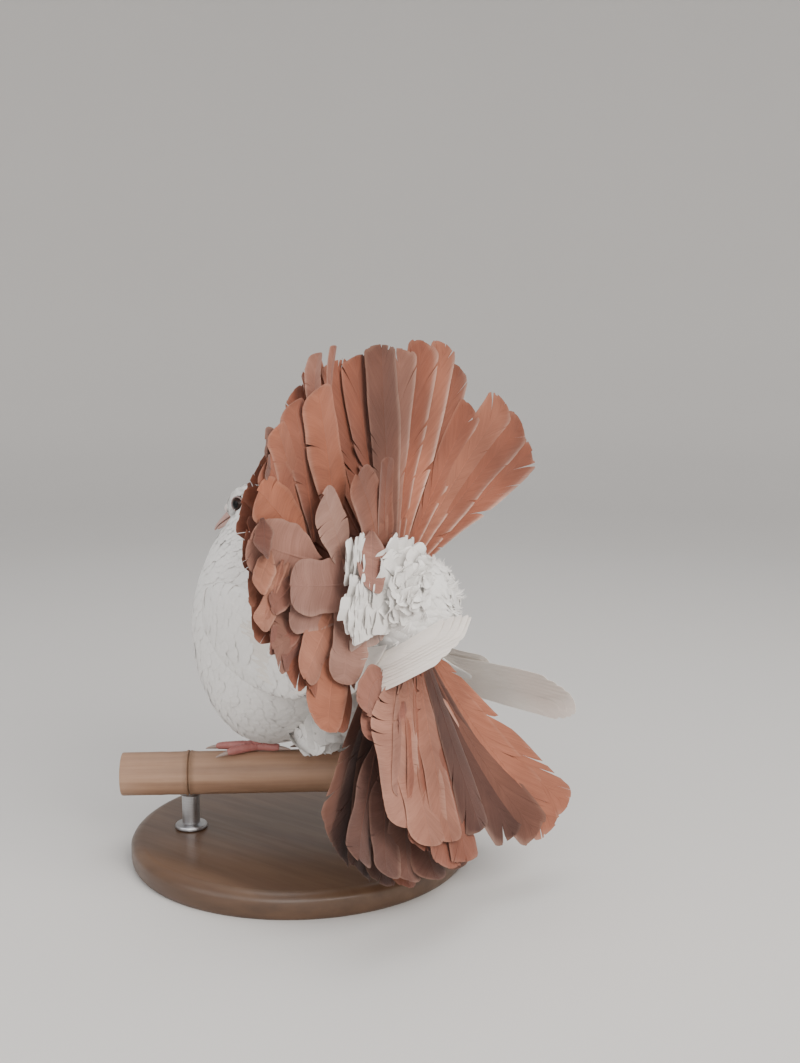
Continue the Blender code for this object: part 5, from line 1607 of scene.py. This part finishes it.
def scutes(count):
    """Overlapping plates across the top of a toe or shank."""
    def ripple(t, angle):
        saw = np.mod(t * count, 1.0)
        top = np.clip(np.sin(angle), 0.0, 1.0) ** 0.5
        pads = 0.05 * np.sin(t * math.pi * 4.0) * np.clip(-np.sin(angle), 0.0, 1.0)
        return 1.0 + 0.075 * (saw - 0.5) * top + pads
    return ripple


def build_legs():
    """Scaly pink-red legs and feet that grip the perch."""
    skin = fleshy("foot_scales", tuple(settings().foot), (0.46, 0.190, 0.170), 0.5, 420.0, 2200.0, 0.00015)
    horn = fleshy("claw_horn", (0.30, 0.22, 0.19), (0.46, 0.35, 0.30), 0.35, 500.0, 1800.0, 0.0001)
    sets = (
        ("left", -FOOT_ALONG, 1.0, (-18.0, 22.0, -52.0, 168.0)),
        ("right", FOOT_ALONG, -1.0, (-18.0, -52.0, 22.0, 168.0)),
    )
    lengths = (25.0, 18.0, 18.0, 13.0)
    for side, origin, lean, turns in sets:
        hub = perch_place(origin, 0.0, PERCH_RADIUS + GAP + 3.4)
        shank = (hub, hub + np.array((0.0, 0.0, 5.5)), hub + np.array((2.0 * lean, 9.0, 22.0)))
        parts = [shaped_ball("shank", 28, 60, lambda t, a, s=shank:
                             tube_place(s, (3.1, 2.75, 3.2), t, a, scutes(9)), [skin])]
        claws = []
        for turn, length in zip(turns, lengths):
            angle = math.radians(turn)
            line = toe_line(origin, angle, 0.0, length, TOE_RADIUS + 0.3)
            sizes = np.interp(np.linspace(0, 1, 9), (0.0, 0.2, 0.4, 0.6, 0.8, 1.0),
                              (2.8, 2.45, 2.6, 2.25, 2.3, 1.7))
            rows = int(length / 1.9)
            parts.append(shaped_ball("toe", 24, 70, lambda t, a, path=line, radii=sizes, count=rows:
                                     tube_place(path, radii, t, a, scutes(count)), [skin]))
            tip = toe_line(origin, angle, length - 0.6, length + 6.5, TOE_RADIUS, 5)
            tip[:, 2] += np.array((0.0, 0.1, 0.0, -0.4, -1.0)) * 0.4
            claws.append(shaped_ball("claw", 16, 24, lambda t, a, path=tip:
                                     tube_place(path, (1.3, 1.15, 0.9, 0.6, 0.22), t, a), [horn]))
        finish(join(parts, side + "_leg_scales"), "foot_skin", side + "_leg", side + "_foot")
        finish(join(claws, side + "_claws"), "claw", *["%s_claw_%d" % (side, i) for i in (1, 2, 3, 4)])


def lathe(name, profile, sides, materials, matrix, ends=None):
    """Spin a profile of radius and height pairs about its own axis."""
    bm = bmesh.new()
    verts = [bm.verts.new((radius * MM, 0.0, height * MM)) for radius, height in profile]
    edges = [bm.edges.new((a, b)) for a, b in zip(verts, verts[1:])]
    bmesh.ops.spin(bm, geom=verts + edges, cent=(0.0, 0.0, 0.0), axis=(0.0, 0.0, 1.0), angle=2.0 * math.pi,
                   steps=sides, use_merge=True)
    bmesh.ops.remove_doubles(bm, verts=bm.verts[:], dist=1e-6)
    bmesh.ops.recalc_face_normals(bm, faces=bm.faces[:])
    if ends:
        for face in bm.faces:
            middle = face.calc_center_median()
            if ends(middle / MM):
                face.material_index = 1
    bmesh.ops.transform(bm, matrix=matrix, verts=bm.verts[:])
    return keep_mesh(bm, name, materials, 40.0)


def build_perch():
    """Short length of bamboo with two joints and cut ends."""
    radius = PERCH_RADIUS
    rows = [(0.0, PERCH_START + 1.6), (6.6, PERCH_START + 1.6), (7.2, PERCH_START + 0.2), (7.8, PERCH_START),
            (radius - 0.8, PERCH_START), (radius - 0.2, PERCH_START + 0.25), (radius, PERCH_START + 0.8)]
    height = PERCH_START + 6.0
    for joint in POLE_JOINTS:
        while height < joint - 7.0:
            rows.append((radius + 0.10 * math.sin(height * 0.7) * math.sin(height * 0.23), height))
            height += 4.0
        rows += [(radius, joint - 5.0), (radius + 0.25, joint - 2.0), (radius + 0.75, joint - 1.2),
                 (radius + 0.9, joint - 0.7), (radius + 0.5, joint - 0.25), (radius - 0.1, joint),
                 (radius + 0.45, joint + 0.3), (radius + 0.7, joint + 0.9), (radius + 0.45, joint + 1.6),
                 (radius + 0.2, joint + 2.4), (radius, joint + 5.0)]
        height = joint + 9.0
    while height < PERCH_END - 4.0:
        rows.append((radius + 0.10 * math.sin(height * 0.7) * math.sin(height * 0.23), height))
        height += 4.0
    rows += [(radius, PERCH_END - 0.8), (radius - 0.2, PERCH_END - 0.25), (radius - 0.8, PERCH_END),
             (7.8, PERCH_END), (7.2, PERCH_END - 0.2), (6.6, PERCH_END - 1.6), (0.0, PERCH_END - 1.6)]
    turn = Matrix.Translation(Vector(metres((0.0, 0.0, -radius)))) @ Matrix.Rotation(PERCH_ANGLE, 4, "Z")
    turn = turn @ Matrix.Rotation(-math.pi / 2.0, 4, "X")

    def is_end(middle):
        reach = math.hypot(middle.x, middle.y)
        return (middle.z < PERCH_START + 2.0 or middle.z > PERCH_END - 2.0) and reach < radius - 0.5

    pole = lathe("bamboo_pole", rows, 96, [bamboo_material(), cut_material()], turn, is_end)
    finish(pole, "bamboo", "perch")


def build_stand():
    """Turned wooden base with two steel rods."""
    r = BASE_RADIUS
    b = BASE_THICK
    profile = [(0.0, b), (r * 0.5, b), (r - 6.6, b), (r - 6.0, b - 0.05), (r - 4.6, b - 0.35),
               (r - 3.2, b - 0.95), (r - 1.8, b - 1.95), (r - 0.7, b - 3.1), (r, b - 4.6), (r, 3.2),
               (r - 0.3, 1.8), (r - 0.9, 0.6), (r - 1.5, 0.0), (0.0, 0.0)]
    base = lathe("wooden_base", profile, 128, [wood_material()], Matrix.Identity(4))
    finish(base, "base_wood", "stand_base")
    steel = steel_material()
    for name, along in (("stand_rod_front", ROD_FRONT), ("stand_rod_rear", ROD_REAR)):
        foot = perch_place(np.array(along), np.array(0.0), np.array(0.0))
        low = b + GAP
        high = PERCH_TOP - PERCH_RADIUS - 8.0
        rows = [(0.0, low), (8.6, low), (9.0, low + 0.4), (9.0, low + 1.6), (8.5, low + 2.2),
                (5.6, low + 2.4), (ROD_RADIUS, low + 2.8), (ROD_RADIUS, high - 4.5), (6.4, high - 3.8),
                (7.0, high - 2.4), (7.0, high - 1.0), (0.0, high - 1.0)]
        rod = lathe(name + "_steel", rows, 48, [steel], Matrix.Translation((foot[0] * MM, foot[1] * MM, 0.0)))
        finish(rod, "rod_steel", name)


def build_stage():
    """Pale seamless floor, soft lights and the camera."""
    tone, tree, shader = new_material("pale_floor", (0.60, 0.58, 0.56), 0.9)
    soft = noise(tree, object_place(tree), 3.0, 3.0)
    tree.links.new(mix(tree, maths(tree, "MULTIPLY", soft, 0.3), (0.62, 0.60, 0.58), (0.56, 0.54, 0.52)),
                   shader.inputs["Base Color"])
    rows = [(0.0, 0.0), (1200.0, 0.0), (1500.0, 12.0), (1750.0, 70.0), (1900.0, 190.0), (1980.0, 420.0),
            (2000.0, 900.0), (2000.0, 1600.0)]
    floor = lathe("floor", rows, 96, [tone], Matrix.Identity(4))
    floor.data.shade_smooth()
    if floor.data.polygons[0].normal.z < 0.0:
        floor.data.flip_normals()
    world = bpy.data.worlds.new("soft_sky")
    world.use_nodes = True
    world.node_tree.nodes["Background"].inputs["Color"].default_value = (0.93, 0.96, 1.0, 1.0)
    world.node_tree.nodes["Background"].inputs["Strength"].default_value = WORLD_STRENGTH
    bpy.context.scene.world = world
    target = Vector(LIGHT_TARGET)
    for title, place, size, power, colour in (
        ("key_light", (0.35, 1.25, 0.95), 0.9, 21.0, (1.0, 0.97, 0.93)),
        ("fill_light", (1.15, -0.35, 0.70), 1.1, 4.5, (0.93, 0.96, 1.0)),
        ("side_light", (1.20, 0.70, 0.75), 1.0, 9.0, (1.0, 0.99, 0.97)),
        ("top_light", (-0.2, 0.0, 1.5), 1.2, 10.0, (1.0, 0.98, 0.96)),
    ):
        lamp = bpy.data.lights.new(title, "AREA")
        lamp.shape = "DISK"
        lamp.size = size
        lamp.energy = power
        lamp.color = colour
        holder = bpy.data.objects.new(title, lamp)
        holder.location = place
        holder.rotation_euler = (target - Vector(place)).to_track_quat("-Z", "Y").to_euler()
        bpy.context.scene.collection.objects.link(holder)
    lens = bpy.data.cameras.new("camera")
    lens.sensor_width = SENSOR_WIDTH
    lens.lens = CAMERA_LENS
    camera = bpy.data.objects.new("camera", lens)
    camera.location = CAMERA_PLACE
    camera.rotation_euler = Vector(CAMERA_AIM).to_track_quat("-Z", "Y").to_euler()
    bpy.context.scene.collection.objects.link(camera)
    bpy.context.scene.camera = camera


class PigeonSettings(bpy.types.PropertyGroup):
    """Sizes and colours of the model."""
    tuft_length: bpy.props.FloatProperty(
        name="Body feather length", description="Length of the small feathers of the body", default=13.0 * MM,
        min=6.0 * MM, max=25.0 * MM, unit="LENGTH", subtype="DISTANCE")
    tuft_width: bpy.props.FloatProperty(
        name="Body feather width", description="Width of the small feathers of the body", default=8.6 * MM,
        min=4.0 * MM, max=16.0 * MM, unit="LENGTH", subtype="DISTANCE")
    down_length: bpy.props.FloatProperty(
        name="Down length", description="Length of the down under the tail", default=8.5 * MM, min=4.0 * MM,
        max=15.0 * MM, unit="LENGTH", subtype="DISTANCE")
    vane_thickness: bpy.props.FloatProperty(
        name="Tail feather thickness", description="Thickness of the tail feathers at the shaft",
        default=0.34 * MM, min=0.15 * MM, max=0.8 * MM, unit="LENGTH", subtype="DISTANCE")
    white: bpy.props.FloatVectorProperty(
        name="White", description="Colour of the body feathers", subtype="COLOR", size=3, default=WHITE,
        min=0.0, max=1.0)
    cream: bpy.props.FloatVectorProperty(
        name="Cream", description="Colour of the wing feathers", subtype="COLOR", size=3, default=CREAM,
        min=0.0, max=1.0)
    rust: bpy.props.FloatVectorProperty(
        name="Rust", description="Main colour of the tail; its other tints follow it", subtype="COLOR",
        size=3, default=RUST, min=0.0, max=1.0)
    foot: bpy.props.FloatVectorProperty(
        name="Foot", description="Colour of the scales of the feet", subtype="COLOR", size=3,
        default=FOOT_PINK, min=0.0, max=1.0)


def settings():
    return bpy.context.scene.pigeon_settings


class PIGEON_OT_skin(bpy.types.Operator):
    """Make the one skin under the feathers of the body"""
    bl_idname = "pigeon.skin"
    bl_label = "Add Skin"

    def execute(self, context):
        build_skin()
        return {"FINISHED"}


class PIGEON_OT_body_feathers(bpy.types.Operator):
    """Cover the skin with small white feathers"""
    bl_idname = "pigeon.body_feathers"
    bl_label = "Add Body Feathers"

    def execute(self, context):
        build_body_feathers()
        build_belly_down()
        return {"FINISHED"}


class PIGEON_OT_eyes(bpy.types.Operator):
    """Make the dark eyes and their lids"""
    bl_idname = "pigeon.eyes"
    bl_label = "Add Eyes"

    def execute(self, context):
        build_eyes()
        return {"FINISHED"}


class PIGEON_OT_bill(bpy.types.Operator):
    """Make both halves of the bill and the cere"""
    bl_idname = "pigeon.bill"
    bl_label = "Add Bill"

    def execute(self, context):
        build_bill()
        return {"FINISHED"}


class PIGEON_OT_tail(bpy.types.Operator):
    """Make the raised fan, the hanging groups and the shorter feathers over them"""
    bl_idname = "pigeon.tail"
    bl_label = "Add Tail Feathers"

    def execute(self, context):
        build_upper_fan()
        build_lower_fans()
        build_second_tier()
        return {"FINISHED"}


class PIGEON_OT_undertail(bpy.types.Operator):
    """Make the white coverts and down at the root of the tail"""
    bl_idname = "pigeon.undertail"
    bl_label = "Add Undertail"

    def execute(self, context):
        build_undertail()
        return {"FINISHED"}


class PIGEON_OT_wings(bpy.types.Operator):
    """Make the folded cream wings"""
    bl_idname = "pigeon.wings"
    bl_label = "Add Wings"

    def execute(self, context):
        build_wings()
        return {"FINISHED"}


class PIGEON_OT_legs(bpy.types.Operator):
    """Make the scaly legs, feet and claws"""
    bl_idname = "pigeon.legs"
    bl_label = "Add Legs"

    def execute(self, context):
        build_legs()
        return {"FINISHED"}


class PIGEON_OT_perch(bpy.types.Operator):
    """Make the short bamboo perch"""
    bl_idname = "pigeon.perch"
    bl_label = "Add Perch"

    def execute(self, context):
        build_perch()
        return {"FINISHED"}


class PIGEON_OT_stand(bpy.types.Operator):
    """Make the wooden base and its two steel rods"""
    bl_idname = "pigeon.stand"
    bl_label = "Add Stand"

    def execute(self, context):
        build_stand()
        return {"FINISHED"}


class PIGEON_OT_stage(bpy.types.Operator):
    """Make the pale floor, the lights and the camera"""
    bl_idname = "pigeon.stage"
    bl_label = "Add Stage"

    def execute(self, context):
        build_stage()
        return {"FINISHED"}


STEPS = (
    PIGEON_OT_skin,
    PIGEON_OT_body_feathers,
    PIGEON_OT_eyes,
    PIGEON_OT_bill,
    PIGEON_OT_tail,
    PIGEON_OT_undertail,
    PIGEON_OT_wings,
    PIGEON_OT_legs,
    PIGEON_OT_perch,
    PIGEON_OT_stand,
    PIGEON_OT_stage,
)


class PIGEON_PT_panel(bpy.types.Panel):
    """Settings and the steps that make the model"""
    bl_idname = "PIGEON_PT_panel"
    bl_label = "Fantail Pigeon"
    bl_space_type = "VIEW_3D"
    bl_region_type = "UI"
    bl_category = "Pigeon"

    def draw(self, context):
        for name in PigeonSettings.__annotations__:
            self.layout.prop(context.scene.pigeon_settings, name)
        for step in STEPS:
            self.layout.operator(step.bl_idname)


def register():
    bpy.utils.register_class(PigeonSettings)
    for item in STEPS:
        bpy.utils.register_class(item)
    bpy.utils.register_class(PIGEON_PT_panel)
    bpy.types.Scene.pigeon_settings = bpy.props.PointerProperty(type=PigeonSettings)


def unregister():
    del bpy.types.Scene.pigeon_settings
    bpy.utils.unregister_class(PIGEON_PT_panel)
    for item in reversed(STEPS):
        bpy.utils.unregister_class(item)
    bpy.utils.unregister_class(PigeonSettings)


def main():
    register()
    bpy.ops.pigeon.skin()
    bpy.ops.pigeon.body_feathers()
    bpy.ops.pigeon.eyes()
    bpy.ops.pigeon.bill()
    bpy.ops.pigeon.tail()
    bpy.ops.pigeon.undertail()
    bpy.ops.pigeon.wings()
    bpy.ops.pigeon.legs()
    bpy.ops.pigeon.perch()
    bpy.ops.pigeon.stand()
    bpy.ops.pigeon.stage()
    bpy.context.view_layer.update()


if __name__ == "__main__":
    main()
